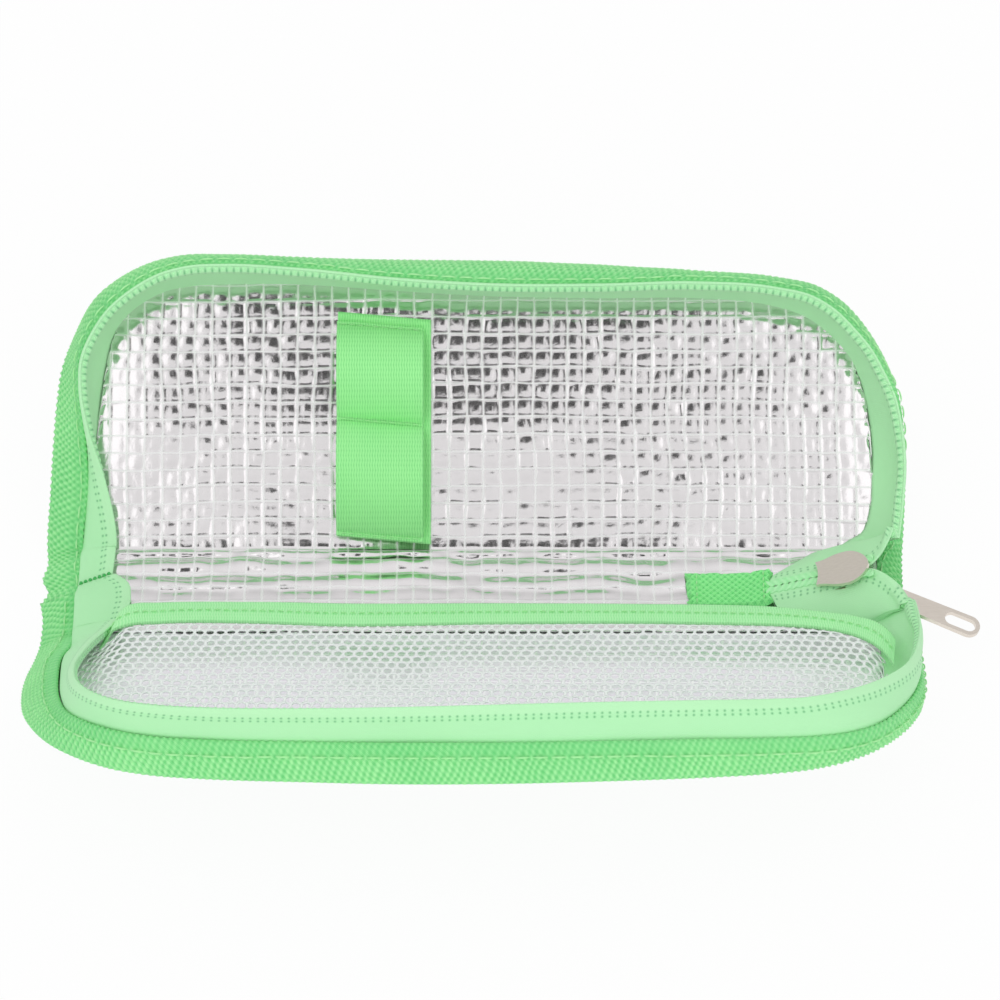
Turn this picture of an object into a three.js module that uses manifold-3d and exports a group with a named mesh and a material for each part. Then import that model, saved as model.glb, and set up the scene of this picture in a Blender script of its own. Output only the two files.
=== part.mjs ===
// A soft insulated zip case for insulin pens, lying open on its spine.
// Millimetres, +Z up. +X runs along the case, +Y away from the viewer.
// The origin is the middle of the spine's underside, which rests on the table.
//
// Each half is built in its own frame: x along the case, y from the crease to the outer edge,
// z from the outer cloth up into the tray. Two groups then fold the halves up from the spine.

import * as THREE from "three";
import { mergeVertices } from "three/addons/utils/BufferGeometryUtils.js";
import Module from "manifold-3d";

// Driving dimensions
const caseLength = 205;
const halfDepth = 70.6;
const cornerRadius = 39;
const spineWidth = 27;
const wallHeight = 17.8;
const seatGap = 0.3;
const openAngle = THREE.MathUtils.degToRad(28.5);

// Cloth, foam and foil of every panel
const coverThickness = 0.8;
const foamThickness = 2.4;
const foilThickness = 0.4;
const creaseGap = 0.2;
const spineCoverInset = 1.05;
const spineLiningInset = 4.5;
const liningInset = 3.4;
const liningStart = 1.2;

// Coarse webbing round the outside of each half
const webbingThickness = 1.6;
const webbingHeight = 7.8;
const webbingBulge = 0.7;
const wallStartLeft = 4.8;
const wallStartRight = 9.5;
const wallStep = 6.4;
const wallPointShares = [0, 0.16, 0.5, 0.84, 1];

// Zip tape that stands on the webbing
const tapeThickness = 0.6;
const tapeFoot = 4.6;
const meetGap = 0.4;
const leanOuter = 2.1;
const leanLeftHinge = 4.6;
const flareBackRight = 1.4;
const flareFrontRight = 2.2;

// Coil of the zip
const coilPitch = 1.7;
const coilThickness = 1.9;
const coilWidth = 2.9;
const toothDepth = 0.9;

// Webbing over the two ends of the spine
const hingeWebbingThickness = 1.4;
const leftHingeHeight = 8;
const rightHingeHeight = 2.8;
const hingeWebbingWidth = 24;

// Mesh pocket with its elastic hem on the front half
const netThickness = 0.5;
const netGapLength = 8.6;
const netGapWidth = 5.6;
const netStrand = 1.3;
const netMargin = 2.6;
const netSeamHeight = 6.2;
const netBulge = 1.2;
const hemStart = 2.2;
const hemHeight = 13.2;
const hemWidth = 7.7;
const hemThickness = 0.9;
const hemEndInset = 8.6;
const hemTurnWidth = 18;
const hemTurnDepth = 28.4;
const hemTipWidth = 2.4;

// Elastic band with two pen loops on the back half
const bandCentre = -23.2;
const bandWidth = 20.7;
const bandThickness = 0.9;
const bandStart = 4.8;
const stitchWidth = 1.4;
const lowerLoopLength = 26.6;
const upperLoopLength = 22.4;
const loopRise = 6.6;
const bandBaseThickness = 0.7;
const bandBaseShift = 1.9;
const bandBaseWidth = 21.3;
const bandBaseTail = 2.4;
const loopSteps = 14;

// Tail of the zip, held down by a tab on the spine
const tailOffset = -0.2;
const tailBendFromEnd = 33.5;
const tailLift = 2.2;
const tailAngle = THREE.MathUtils.degToRad(20);
const tailTapeWidth = 6.2;
const tailTapeThickness = 0.5;
const tailTapeLength = 27.6;
const tailTapeFootLength = 4;
const chainStart = 0.7;
const chainTeeth = 6;
const chainToothWidth = 0.55;
const chainToothReach = 0.7;
const chainRootLine = 1;
const chainHalfWidth = 2.6;
const chainStrandWidth = 1.5;
const chainSplitLength = 2.6;
const chainFanLength = 4.2;
const chainFanSpread = 1.3;

// Tab that covers the end of the zip
const tabLength = 20;
const tabWidth = 10.3;
const tabShift = 0.8;
const tabThickness = 1.5;
const tabLip = 5.4;

// Tacked start of the zip at the left hinge
const tackLength = 7.4;
const tackThickness = 2.2;
const tackHeight = 6.6;
const tackFromEnd = 9.2;

// Slider of the zip
const sliderLength = 12.8;
const sliderStart = 12.8;
const wingThickness = 0.9;
const wingRearHalf = 3.3;
const wingWideHalf = 4.6;
const wingNoseRadius = 1.1;
const wingNotch = 1.1;
const flangeThickness = 0.65;
const flangeShare = 0.5;
const postLength = 4.4;
const postHalfWidth = 0.95;
const postFromNose = 0.9;
const bridgeLength = 8.6;
const bridgeWidth = 2;
const bridgeWall = 0.9;
const bridgeRoom = 2.4;
const bridgeFromNose = 1.2;

// Puller on the slider's bridge
const pullerLength = 30.5;
const pullerWidth = 5.4;
const pullerWaist = 4.8;
const pullerThickness = 1.2;
const eyeWindowWidth = 3.8;
const eyeWindowLength = 3.2;
const eyeBar = 1.1;
const eyeFromLeg = 2.3;
const pullerHoleLength = 7.6;
const pullerHoleWidth = 3.4;
const pullerYaw = THREE.MathUtils.degToRad(-21);
const pullerDrop = THREE.MathUtils.degToRad(9.2);

const roundSteps = 8;

const halfLength = caseLength / 2;
const halfSpine = spineWidth / 2;
const foamBase = coverThickness + seatGap;
const foilBase = foamBase + foamThickness + seatGap;
const trayFloor = foilBase + foilThickness;
const webbingTop = foamBase + webbingHeight;
const closedAngle = Math.acos((wallHeight - halfSpine) / halfDepth);

const wasm = await Module();
wasm.setup();

const cloth = { color: 0x54dc72, roughness: 0.9, metalness: 0 };
const webbing = { color: 0x4fd873, roughness: 0.95, metalness: 0 };
const tapeCloth = { color: 0xa9fbae, roughness: 0.8, metalness: 0 };
const coilNylon = { color: 0xb6f8b4, roughness: 0.5, metalness: 0 };
const elastic = { color: 0x93f48a, roughness: 0.85, metalness: 0 };
const net = { color: 0xf4f7f5, roughness: 0.7, metalness: 0 };
const foam = { color: 0xeef1ee, roughness: 0.9, metalness: 0 };
const foil = { color: 0xd9dcde, roughness: 0.25, metalness: 1 };
const nickel = { color: 0xcdb9ae, roughness: 0.3, metalness: 1 };

// A named mesh in the object's frame, or in the frame of the group that it is added to.
function piece(name, geometry, look) {
  const mesh = new THREE.Mesh(geometry, new THREE.MeshStandardMaterial(look));
  mesh.name = name;
  return mesh;
}

// Six times the volume that a closed indexed surface holds, negative where it is inside out.
function signedVolume(geometry) {
  const place = geometry.getAttribute("position");
  const corner = [new THREE.Vector3(), new THREE.Vector3(), new THREE.Vector3()];
  const order = geometry.index.array;
  let total = 0;
  for (let i = 0; i < order.length; i += 3) {
    corner.forEach((c, k) => c.fromBufferAttribute(place, order[i + k]));
    total += corner[0].dot(corner[1].cross(corner[2]));
  }
  return total;
}

// The same surface with every face pointing out.
function facingOut(geometry) {
  if (signedVolume(geometry) < 0) {
    const order = geometry.index.array;
    for (let i = 0; i < order.length; i += 3) {
      [order[i + 1], order[i + 2]] = [order[i + 2], order[i + 1]];
    }
  }
  geometry.computeVertexNormals();
  return geometry;
}

// A skin over a row of sections that all have the same points, closed by a cap at each end.
// capOutline is the section as flat points, in the same order, which only shapes the caps.
function loft(sections, capOutline) {
  const count = sections[0].length;
  const places = sections.flat().flatMap((p) => [p.x, p.y, p.z]);
  const order = [];
  for (let s = 0; s + 1 < sections.length; s += 1) {
    for (let k = 0; k < count; k += 1) {
      const a = s * count + k;
      const b = s * count + ((k + 1) % count);
      order.push(a, b, b + count, a, b + count, a + count);
    }
  }
  const last = (sections.length - 1) * count;
  const clockwise = THREE.ShapeUtils.isClockWise(capOutline);
  for (const triangle of THREE.ShapeUtils.triangulateShape(capOutline, [])) {
    const [a, b, c] = clockwise ? triangle.toReversed() : triangle;
    order.push(a, c, b, last + a, last + b, last + c);
  }
  const geometry = new THREE.BufferGeometry();
  geometry.setAttribute("position", new THREE.Float32BufferAttribute(places, 3));
  geometry.setIndex(order);
  return facingOut(geometry);
}

// A flat shape given a thickness upwards from a height.
function slab(shape, base, thickness, steps = roundSteps) {
  const geometry = new THREE.ExtrudeGeometry(shape, {
    depth: thickness,
    bevelEnabled: false,
    curveSegments: steps,
  });
  return geometry.translate(0, 0, base);
}

// A profile drawn across the case, y and z, carried along x from one place to another.
function acrossProfile(shape, from, to) {
  const geometry = new THREE.ExtrudeGeometry(shape, { depth: to - from, bevelEnabled: false });
  const basis = new THREE.Matrix4().makeBasis(
    new THREE.Vector3(0, 1, 0),
    new THREE.Vector3(0, 0, 1),
    new THREE.Vector3(1, 0, 0),
  );
  return geometry.applyMatrix4(basis).translate(from, 0, 0);
}

// A solid for joining and cutting, from a geometry in the object's frame.
function solidOf(geometry) {
  const bare = geometry.clone();
  bare.deleteAttribute("normal");
  bare.deleteAttribute("uv");
  const merged = mergeVertices(bare);
  return new wasm.Manifold(
    new wasm.Mesh({
      numProp: 3,
      vertProperties: new Float32Array(merged.getAttribute("position").array),
      triVerts: new Uint32Array(merged.index.array),
    }),
  );
}

// A joined or cut solid back as a geometry.
function geometryOf(solid) {
  const mesh = solid.getMesh();
  const geometry = new THREE.BufferGeometry();
  geometry.setAttribute("position", new THREE.BufferAttribute(mesh.vertProperties, 3));
  geometry.setIndex(new THREE.BufferAttribute(mesh.triVerts, 1));
  geometry.computeVertexNormals();
  return geometry;
}

// The outline of a half: square at the crease, round at the two outer corners, drawn in by an inset.
function halfShape(inset, start) {
  const side = halfLength - inset;
  const far = halfDepth - inset;
  const round = cornerRadius - inset;
  const turnX = halfLength - cornerRadius;
  const turnY = halfDepth - cornerRadius;
  const shape = new THREE.Shape();
  shape.moveTo(-side, start);
  shape.lineTo(side, start);
  shape.lineTo(side, turnY);
  shape.absarc(turnX, turnY, round, 0, Math.PI / 2, false);
  shape.lineTo(-turnX, far);
  shape.absarc(-turnX, turnY, round, Math.PI / 2, Math.PI, false);
  shape.closePath();
  return shape;
}

// The line of the wall seen from above, from the left side of the case round to the right side.
function wallPath(inset, startLeft, startRight) {
  const side = halfLength - inset;
  const round = cornerRadius - inset;
  const turnX = halfLength - cornerRadius;
  const turnY = halfDepth - cornerRadius;
  const path = new THREE.Path();
  path.moveTo(-side, startLeft);
  path.lineTo(-side, turnY);
  path.absarc(-turnX, turnY, round, Math.PI, Math.PI / 2, true);
  path.lineTo(turnX, halfDepth - inset);
  path.absarc(turnX, turnY, round, Math.PI / 2, 0, true);
  path.lineTo(side, startRight);
  return path;
}

// The height of the zip's free edge above the outer cloth. It falls towards the crease,
// so that the free edges of both halves meet all the way round when the case is shut.
function freeEdgeHeight(y) {
  return (halfSpine + y * Math.cos(closedAngle) - meetGap / 2) / Math.sin(closedAngle);
}

// How far the free edge leans in over the tray, by the share of the way along the wall.
function wallLean(share, flareRight) {
  const leftPull = Math.pow(Math.max(0, 1 - share / 0.3), 2);
  const rightPull = THREE.MathUtils.smoothstep(share, 0.62, 0.95);
  const left = THREE.MathUtils.lerp(leanOuter, leanLeftHinge, leftPull);
  return THREE.MathUtils.lerp(left, -flareRight, rightPull);
}

// Sections square to the wall's line. profile gives [inwards, height] points for a share and a y.
function wallSections(path, steps, mirror, profile) {
  const sections = [];
  for (let i = 0; i <= steps; i += 1) {
    const share = i / steps;
    const place = path.getPointAt(share);
    const along = path.getTangentAt(share);
    const outline = profile(share, place.y, i);
    sections.push(
      outline.map(([inwards, height]) => {
        const x = place.x + along.y * inwards;
        const y = place.y - along.x * inwards;
        return new THREE.Vector3(mirror * x, y, height);
      }),
    );
  }
  return sections;
}

// The webbing: a flat woven strip on edge that bulges outwards a little.
function webbingWall(mirror) {
  const inset = webbingBulge;
  const path = wallPath(inset, wallStartLeft, wallStartRight);
  const steps = Math.round(path.getLength() / wallStep);
  const bulge = (share) => webbingBulge * Math.sin(Math.PI * share);
  const outline = [
    ...wallPointShares.map((share) => [-bulge(share), share * webbingHeight]),
    ...wallPointShares.toReversed().map((share) => [
      webbingThickness - bulge(share),
      share * webbingHeight,
    ]),
  ];
  const cap = outline.map(([a, b]) => new THREE.Vector2(a, b));
  return loft(wallSections(path, steps, mirror, () => outline), cap);
}

// The zip tape: upright behind the webbing, then leaning in or out above its edge.
function tapeWall(mirror, flareRight) {
  const inset = webbingBulge + webbingThickness + seatGap;
  const path = wallPath(inset, wallStartLeft, wallStartRight);
  const steps = Math.round(path.getLength() / wallStep);
  const knee = webbingTop + seatGap;
  const cap = [
    [0, tapeFoot], [0, knee], [0, wallHeight],
    [tapeThickness, wallHeight], [tapeThickness, knee], [tapeThickness, tapeFoot],
  ].map(([a, b]) => new THREE.Vector2(a, b));
  const profile = (share, y) => {
    const top = freeEdgeHeight(y) - toothDepth;
    const lean = wallLean(share, flareRight);
    return [
      [0, tapeFoot], [0, knee], [lean, top],
      [lean + tapeThickness, top], [tapeThickness, knee], [tapeThickness, tapeFoot],
    ];
  };
  return loft(wallSections(path, steps, mirror, profile), cap);
}

// The coil along the tape's outer face near its free edge, one tooth to each pitch.
function coilWall(mirror, flareRight) {
  const inset = webbingBulge + webbingThickness + seatGap;
  const path = wallPath(inset, wallStartLeft, wallStartRight);
  const teeth = Math.round(path.getLength() / coilPitch);
  const cap = [
    [-coilThickness, 0], [-coilThickness, coilWidth], [0, coilWidth], [0, 0],
  ].map(([a, b]) => new THREE.Vector2(a, b));
  const knee = webbingTop + seatGap;
  const profile = (share, y, i) => {
    const edge = freeEdgeHeight(y);
    const tip = edge - (i % 2) * toothDepth;
    const foot = edge - coilWidth;
    const slope = wallLean(share, flareRight) / (edge - toothDepth - knee);
    const lean = (height) => slope * (height - knee) - seatGap;
    return [
      [lean(foot) - coilThickness, foot],
      [lean(tip) - coilThickness, tip],
      [lean(tip), tip],
      [lean(foot), foot],
    ];
  };
  return loft(wallSections(path, teeth * 2, mirror, profile), cap);
}

// How high the pocket's net and hem stand above the outer cloth.
function pocketHeight(x, y) {
  const share = (y - hemStart) / (halfDepth - liningInset - hemStart);
  const sideShare = x / halfLength;
  const slack = Math.sin(Math.PI * share) * (1 - sideShare * sideShare);
  return THREE.MathUtils.lerp(hemHeight, netSeamHeight, share) + netBulge * slack;
}

// A flat slab of the pocket laid over its height.
function drape(geometry) {
  const place = geometry.getAttribute("position");
  for (let i = 0; i < place.count; i += 1) {
    const rise = pocketHeight(place.getX(i), place.getY(i));
    place.setZ(i, place.getZ(i) + rise);
  }
  geometry.computeVertexNormals();
  return geometry;
}

// The elastic hem: straight along the crease, then turning down the slider's side of the half.
// side is the direction of the slider, seen in the half's own frame.
function hemShape(side) {
  const left = -(halfLength - hemEndInset);
  const right = halfLength - hemEndInset;
  const turn = right - hemTurnWidth;
  const shape = new THREE.Shape();
  const far = hemStart + hemWidth;
  shape.moveTo(side * left, hemStart);
  shape.lineTo(side * turn, hemStart);
  shape.quadraticCurveTo(side * right, hemStart, side * right, hemStart + hemTurnDepth);
  shape.lineTo(side * (right - hemTipWidth), hemStart + hemTurnDepth);
  shape.quadraticCurveTo(side * (right - hemTipWidth), far, side * (turn - hemTipWidth), far);
  shape.lineTo(side * left, far);
  shape.closePath();
  return shape;
}

// The net's outline lies inside the walls and stops at the hem.
function netShape(side) {
  const inset = webbingBulge + webbingThickness + seatGap + tapeThickness + leanLeftHinge;
  const right = halfLength - hemEndInset;
  const turn = right - hemTurnWidth;
  const start = hemStart + hemWidth + seatGap;
  const edge = right - hemTipWidth - seatGap;
  const turnX = halfLength - cornerRadius;
  const turnY = halfDepth - cornerRadius;
  const round = cornerRadius - inset;
  const farSide = halfLength - inset;
  const shape = new THREE.Shape();
  shape.moveTo(-farSide, start);
  shape.lineTo(turn - hemTipWidth, start);
  shape.quadraticCurveTo(edge, start, edge, hemStart + hemTurnDepth);
  shape.lineTo(edge, turnY);
  shape.absarc(turnX, turnY, round, 0, Math.PI / 2, false);
  shape.lineTo(-turnX, halfDepth - inset);
  shape.absarc(-turnX, turnY, round, Math.PI / 2, Math.PI, false);
  shape.closePath();
  const outline = shape.getPoints(roundSteps);
  const pitchX = netGapLength + netStrand;
  const pitchY = (netGapWidth + netStrand) / 2;
  const rows = Math.floor(halfDepth / pitchY);
  const columns = Math.floor(caseLength / pitchX);
  const inside = (x, y) => pointInside(outline, x, y);
  const holes = [];
  for (let r = 0; r < rows; r += 1) {
    for (let c = 0; c <= columns; c += 1) {
      const x = (c - columns / 2 + (r % 2) / 2) * pitchX;
      const y = start + netMargin + netGapWidth / 2 + r * pitchY;
      const reachX = netGapLength / 2 + netMargin;
      const reachY = netGapWidth / 2 + netMargin;
      const clear = inside(x - reachX, y) && inside(x + reachX, y) && inside(x, y + reachY);
      if (!clear || !inside(x, y - netGapWidth / 2 - netMargin / 2)) continue;
      const gap = new THREE.Path();
      gap.moveTo(side * (x - netGapLength / 2), y);
      gap.lineTo(side * x, y - netGapWidth / 2);
      gap.lineTo(side * (x + netGapLength / 2), y);
      gap.lineTo(side * x, y + netGapWidth / 2);
      gap.closePath();
      holes.push(gap);
    }
  }
  const turnedOutline = outline.map((p) => new THREE.Vector2(side * p.x, p.y));
  const turned = new THREE.Shape(side < 0 ? turnedOutline.toReversed() : turnedOutline);
  turned.holes = holes;
  return turned;
}

// Whether a point lies inside a closed outline.
function pointInside(outline, x, y) {
  let inside = false;
  outline.forEach((a, i) => {
    const b = outline[(i + 1) % outline.length];
    const crosses = a.y > y !== b.y > y;
    if (crosses && x < ((b.x - a.x) * (y - a.y)) / (b.y - a.y) + a.x) inside = !inside;
  });
  return inside;
}

// The elastic band's profile: flat at three rows of stitches, arched over the pens between them.
function bandShape(base) {
  const inner = [];
  const arch = (start, length) => {
    for (let i = 0; i <= loopSteps; i += 1) {
      const share = i / loopSteps;
      const rise = loopRise * Math.pow(Math.sin(Math.PI * share), 0.75);
      inner.push(new THREE.Vector2(start + share * length, base + rise));
    }
  };
  const lowerStart = bandStart + stitchWidth;
  const upperStart = lowerStart + lowerLoopLength + stitchWidth;
  inner.push(new THREE.Vector2(bandStart, base));
  arch(lowerStart, lowerLoopLength);
  arch(upperStart, upperLoopLength);
  inner.push(new THREE.Vector2(upperStart + upperLoopLength + stitchWidth, base));
  const outer = inner.map((p, i) => {
    const before = inner[Math.max(0, i - 1)];
    const after = inner[Math.min(inner.length - 1, i + 1)];
    const along = after.clone().sub(before).normalize();
    return new THREE.Vector2(p.x - along.y * bandThickness, p.y + along.x * bandThickness);
  });
  return new THREE.Shape([...inner, ...outer.toReversed()]);
}

// A rectangle with its corners cut round.
function roundedBar(length, width, radius) {
  const x = length / 2;
  const y = width / 2;
  const shape = new THREE.Shape();
  shape.moveTo(-x + radius, -y);
  shape.lineTo(x - radius, -y);
  shape.absarc(x - radius, -y + radius, radius, -Math.PI / 2, 0, false);
  shape.lineTo(x, y - radius);
  shape.absarc(x - radius, y - radius, radius, 0, Math.PI / 2, false);
  shape.lineTo(-x + radius, y);
  shape.absarc(-x + radius, y - radius, radius, Math.PI / 2, Math.PI, false);
  shape.lineTo(-x, -y + radius);
  shape.absarc(-x + radius, -y + radius, radius, Math.PI, Math.PI * 1.5, false);
  return shape;
}

// The layers and walls that both halves have. side is the slider's direction in the half's frame.
function half(name, side, flareRight) {
  const group = new THREE.Group();
  const lining = halfShape(liningInset, liningStart);
  group.add(piece(name + "_cover", slab(halfShape(webbingBulge, creaseGap), 0, coverThickness), cloth));
  group.add(piece(name + "_foam", slab(lining, foamBase, foamThickness), foam));
  group.add(piece(name + "_foil", slab(lining, foilBase, foilThickness), foil));
  group.add(piece(name + "_webbing", webbingWall(side).translate(0, 0, foamBase), webbing));
  group.add(piece(name + "_zip_tape", tapeWall(side, flareRight), tapeCloth));
  group.add(piece(name + "_zip_coil", coilWall(side, flareRight), coilNylon));
  return group;
}

const object = new THREE.Group();

// Back half with the pen band
const backHalf = half("back", 1, flareBackRight);
const baseFrom = bandCentre + bandBaseShift - bandBaseWidth / 2;
const bandLength = stitchWidth * 3 + lowerLoopLength + upperLoopLength;
const baseHeight = trayFloor + seatGap;
const baseOutline = new THREE.Shape();
baseOutline.moveTo(baseFrom, bandStart);
baseOutline.lineTo(baseFrom + bandBaseWidth, bandStart);
baseOutline.lineTo(baseFrom + bandBaseWidth, bandStart + bandLength + bandBaseTail);
baseOutline.lineTo(baseFrom, bandStart + bandLength + bandBaseTail);
backHalf.add(piece("pen_band_base", slab(baseOutline, baseHeight, bandBaseThickness), elastic));
const loopBase = baseHeight + bandBaseThickness + seatGap;
const loopFrom = bandCentre - bandWidth / 2;
backHalf.add(
  piece("pen_band_loops", acrossProfile(bandShape(loopBase), loopFrom, loopFrom + bandWidth), elastic),
);
backHalf.position.y = halfSpine;
backHalf.rotation.x = openAngle;
object.add(backHalf);

// Front half with the mesh pocket, turned to face the back half across the spine
const frontHalf = half("front", -1, flareFrontRight);
frontHalf.add(piece("mesh_pocket", drape(slab(netShape(-1), 0, netThickness)), net));
frontHalf.add(piece("pocket_hem", drape(slab(hemShape(-1), 0, hemThickness, 6)), elastic));
frontHalf.rotation.x = openAngle;
const frontTurn = new THREE.Group();
frontTurn.position.y = -halfSpine;
frontTurn.rotation.z = Math.PI;
frontTurn.add(frontHalf);
object.add(frontTurn);

// Spine: the strip that the case stands on
const spineShape = (sideInset, inset) => {
  const reach = halfSpine - sideInset;
  const shape = new THREE.Shape();
  shape.moveTo(-halfLength + inset, -reach);
  shape.lineTo(halfLength - inset, -reach);
  shape.lineTo(halfLength - inset, reach);
  shape.lineTo(-halfLength + inset, reach);
  return shape;
};
const spineLining = spineShape(spineLiningInset, liningInset);
object.add(piece("spine_cover", slab(spineShape(spineCoverInset, 0), 0, coverThickness), cloth));
object.add(piece("spine_foam", slab(spineLining, foamBase, foamThickness), foam));
object.add(piece("spine_foil", slab(spineLining, foilBase, foilThickness), foil));

// Webbing wrapped over each end of the spine, outside the walls that fold past it
function hingeWebbing(name, height, direction) {
  const place = halfLength + seatGap + hingeWebbingThickness / 2;
  const shape = new THREE.Shape();
  shape.moveTo(-hingeWebbingWidth / 2, 0);
  shape.lineTo(hingeWebbingWidth / 2, 0);
  shape.quadraticCurveTo(hingeWebbingWidth / 4, height, 0, height);
  shape.quadraticCurveTo(-hingeWebbingWidth / 4, height, -hingeWebbingWidth / 2, 0);
  const middle = direction * place;
  const half = hingeWebbingThickness / 2;
  return piece(name, acrossProfile(shape, middle - half, middle + half), webbing);
}
object.add(hingeWebbing("left_hinge_webbing", leftHingeHeight, -1));
object.add(hingeWebbing("right_hinge_webbing", rightHingeHeight, 1));

// Tail of the zip. Its frame starts where the tail bends up off the spine.
const tailPlace = new THREE.Vector3(
  halfLength - tailBendFromEnd,
  tailOffset,
  trayFloor + tailLift,
);
const tail = new THREE.Group();
tail.position.copy(tailPlace);
tail.rotation.y = -tailAngle;
object.add(tail);

// One tail tape: flat under the tab, then rising with the chain.
function tailTape(side) {
  const inner = chainRootLine + seatGap;
  const outer = inner + tailTapeWidth;
  const foot = new THREE.Vector3(-tailTapeFootLength, 0, 0).applyAxisAngle(
    new THREE.Vector3(0, 1, 0),
    tailAngle,
  );
  const stations = [foot, new THREE.Vector3(), new THREE.Vector3(tailTapeLength, 0, 0)];
  const sections = stations.map((p) =>
    [
      [inner, seatGap], [outer, seatGap],
      [outer, seatGap + tailTapeThickness], [inner, seatGap + tailTapeThickness],
    ].map(([y, z]) => new THREE.Vector3(p.x, side * y, p.z + z)),
  );
  const cap = [[0, 0], [1, 0], [1, 1], [0, 1]].map(([a, b]) => new THREE.Vector2(a, b));
  return loft(sections, cap);
}

// One row of the chain, seen from above: teeth that mesh with the other row, then a strand that
// parts from it where the slider's post runs, and fans out past the slider's nose.
function chainRow(side) {
  const firstTooth = chainStart + (side < 0 ? coilPitch / 2 : 0);
  const split = chainStart + chainTeeth * coilPitch + coilPitch / 2;
  const parted = split + chainSplitLength;
  const end = tailTapeLength;
  const strandInner = postHalfWidth + seatGap;
  const strandOuter = strandInner + chainStrandWidth;
  const shape = new THREE.Shape();
  shape.moveTo(chainStart - seatGap, side * chainHalfWidth);
  shape.lineTo(chainStart - seatGap, side * chainRootLine);
  for (let i = 0; i < chainTeeth; i += 1) {
    const x = firstTooth + i * coilPitch;
    shape.lineTo(x, side * chainRootLine);
    shape.lineTo(x, -side * chainToothReach);
    shape.lineTo(x + chainToothWidth, -side * chainToothReach);
    shape.lineTo(x + chainToothWidth, side * chainRootLine);
  }
  shape.lineTo(split, side * chainRootLine);
  shape.lineTo(parted, side * strandInner);
  shape.lineTo(end - chainFanLength, side * strandInner);
  shape.lineTo(end, side * (strandInner + chainFanSpread));
  shape.lineTo(end, side * (strandOuter + chainFanSpread));
  shape.lineTo(end - chainFanLength, side * strandOuter);
  shape.lineTo(parted, side * strandOuter);
  shape.lineTo(split, side * chainHalfWidth);
  return shape;
}
tail.add(piece("back_tail_tape", tailTape(1), tapeCloth));
tail.add(piece("front_tail_tape", tailTape(-1), tapeCloth));
tail.add(piece("back_tail_coil", slab(chainRow(1), -coilThickness, coilThickness), coilNylon));
tail.add(piece("front_tail_coil", slab(chainRow(-1), -coilThickness, coilThickness), coilNylon));

// Tab over the end of the zip: sewn flat on the foil, with a lip over the tail's foot
function endTab() {
  const left = tailPlace.x - tabLength;
  const right = tailPlace.x - seatGap;
  const floor = trayFloor + seatGap;
  const lipBase = tailPlace.z + seatGap + tailTapeThickness + seatGap;
  const stepX = right - tabLip;
  const shape = new THREE.Shape();
  shape.moveTo(left, floor);
  shape.lineTo(stepX, floor);
  shape.lineTo(stepX, lipBase);
  shape.lineTo(right, lipBase);
  shape.lineTo(right, lipBase + tabThickness);
  shape.lineTo(stepX - tabThickness, lipBase + tabThickness);
  shape.lineTo(stepX - tabLip, floor + tabThickness);
  shape.lineTo(left, floor + tabThickness);
  const geometry = new THREE.ExtrudeGeometry(shape, { depth: tabWidth, bevelEnabled: false });
  geometry.rotateX(Math.PI / 2);
  return geometry.translate(0, tailOffset + tabShift + tabWidth / 2, 0);
}
object.add(piece("zip_end_tab", endTab(), webbing));

// Folded and tacked start of the zip on the spine's left end
const tackShape = roundedBar(tackLength, tackThickness, tackThickness / 3);
const tack = piece("zip_start_tack", slab(tackShape, 0, tackHeight, 3), tapeCloth);
tack.position.set(-halfLength + tackFromEnd + tackLength / 2, tailOffset, trayFloor + seatGap);
object.add(tack);

// Slider: two wings and a post between them, side flanges that keep the coils in,
// and a bridge under the outer wing that carries the puller.
const channelTop = seatGap + tailTapeThickness + seatGap;
const channelBase = -coilThickness - seatGap;
const sliderNose = sliderStart + sliderLength;

// Outline of a wing: notched rear, sides that swell, and a rounded nose.
function wingShape() {
  const wide = sliderStart + sliderLength * 0.6;
  const shape = new THREE.Shape();
  shape.moveTo(sliderStart, -wingRearHalf);
  shape.bezierCurveTo(
    sliderStart + wingNotch * 3, -wingRearHalf,
    sliderStart + wingNotch * 3, -wingWideHalf,
    wide, -wingWideHalf,
  );
  shape.bezierCurveTo(
    wide + wingNotch * 2, -wingWideHalf,
    sliderNose, -wingNoseRadius * 2,
    sliderNose, 0,
  );
  shape.bezierCurveTo(
    sliderNose, wingNoseRadius * 2,
    wide + wingNotch * 2, wingWideHalf,
    wide, wingWideHalf,
  );
  shape.bezierCurveTo(
    sliderStart + wingNotch * 3, wingWideHalf,
    sliderStart + wingNotch * 3, wingRearHalf,
    sliderStart, wingRearHalf,
  );
  shape.quadraticCurveTo(sliderStart + wingNotch, 0, sliderStart, -wingRearHalf);
  return shape;
}

// The flange along one side of the outer wing: the wing's own edge, as a thin wall.
function flange(side) {
  const end = sliderStart + sliderLength * flangeShare;
  const shape = new THREE.Shape();
  shape.moveTo(sliderStart, side * wingRearHalf);
  shape.lineTo(end, side * (wingRearHalf + flangeThickness / 2));
  shape.lineTo(end, side * (wingRearHalf + flangeThickness * 1.5));
  shape.lineTo(sliderStart, side * (wingRearHalf + flangeThickness));
  return slab(shape, channelBase - wingThickness, wingThickness - channelBase - seatGap);
}

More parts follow.
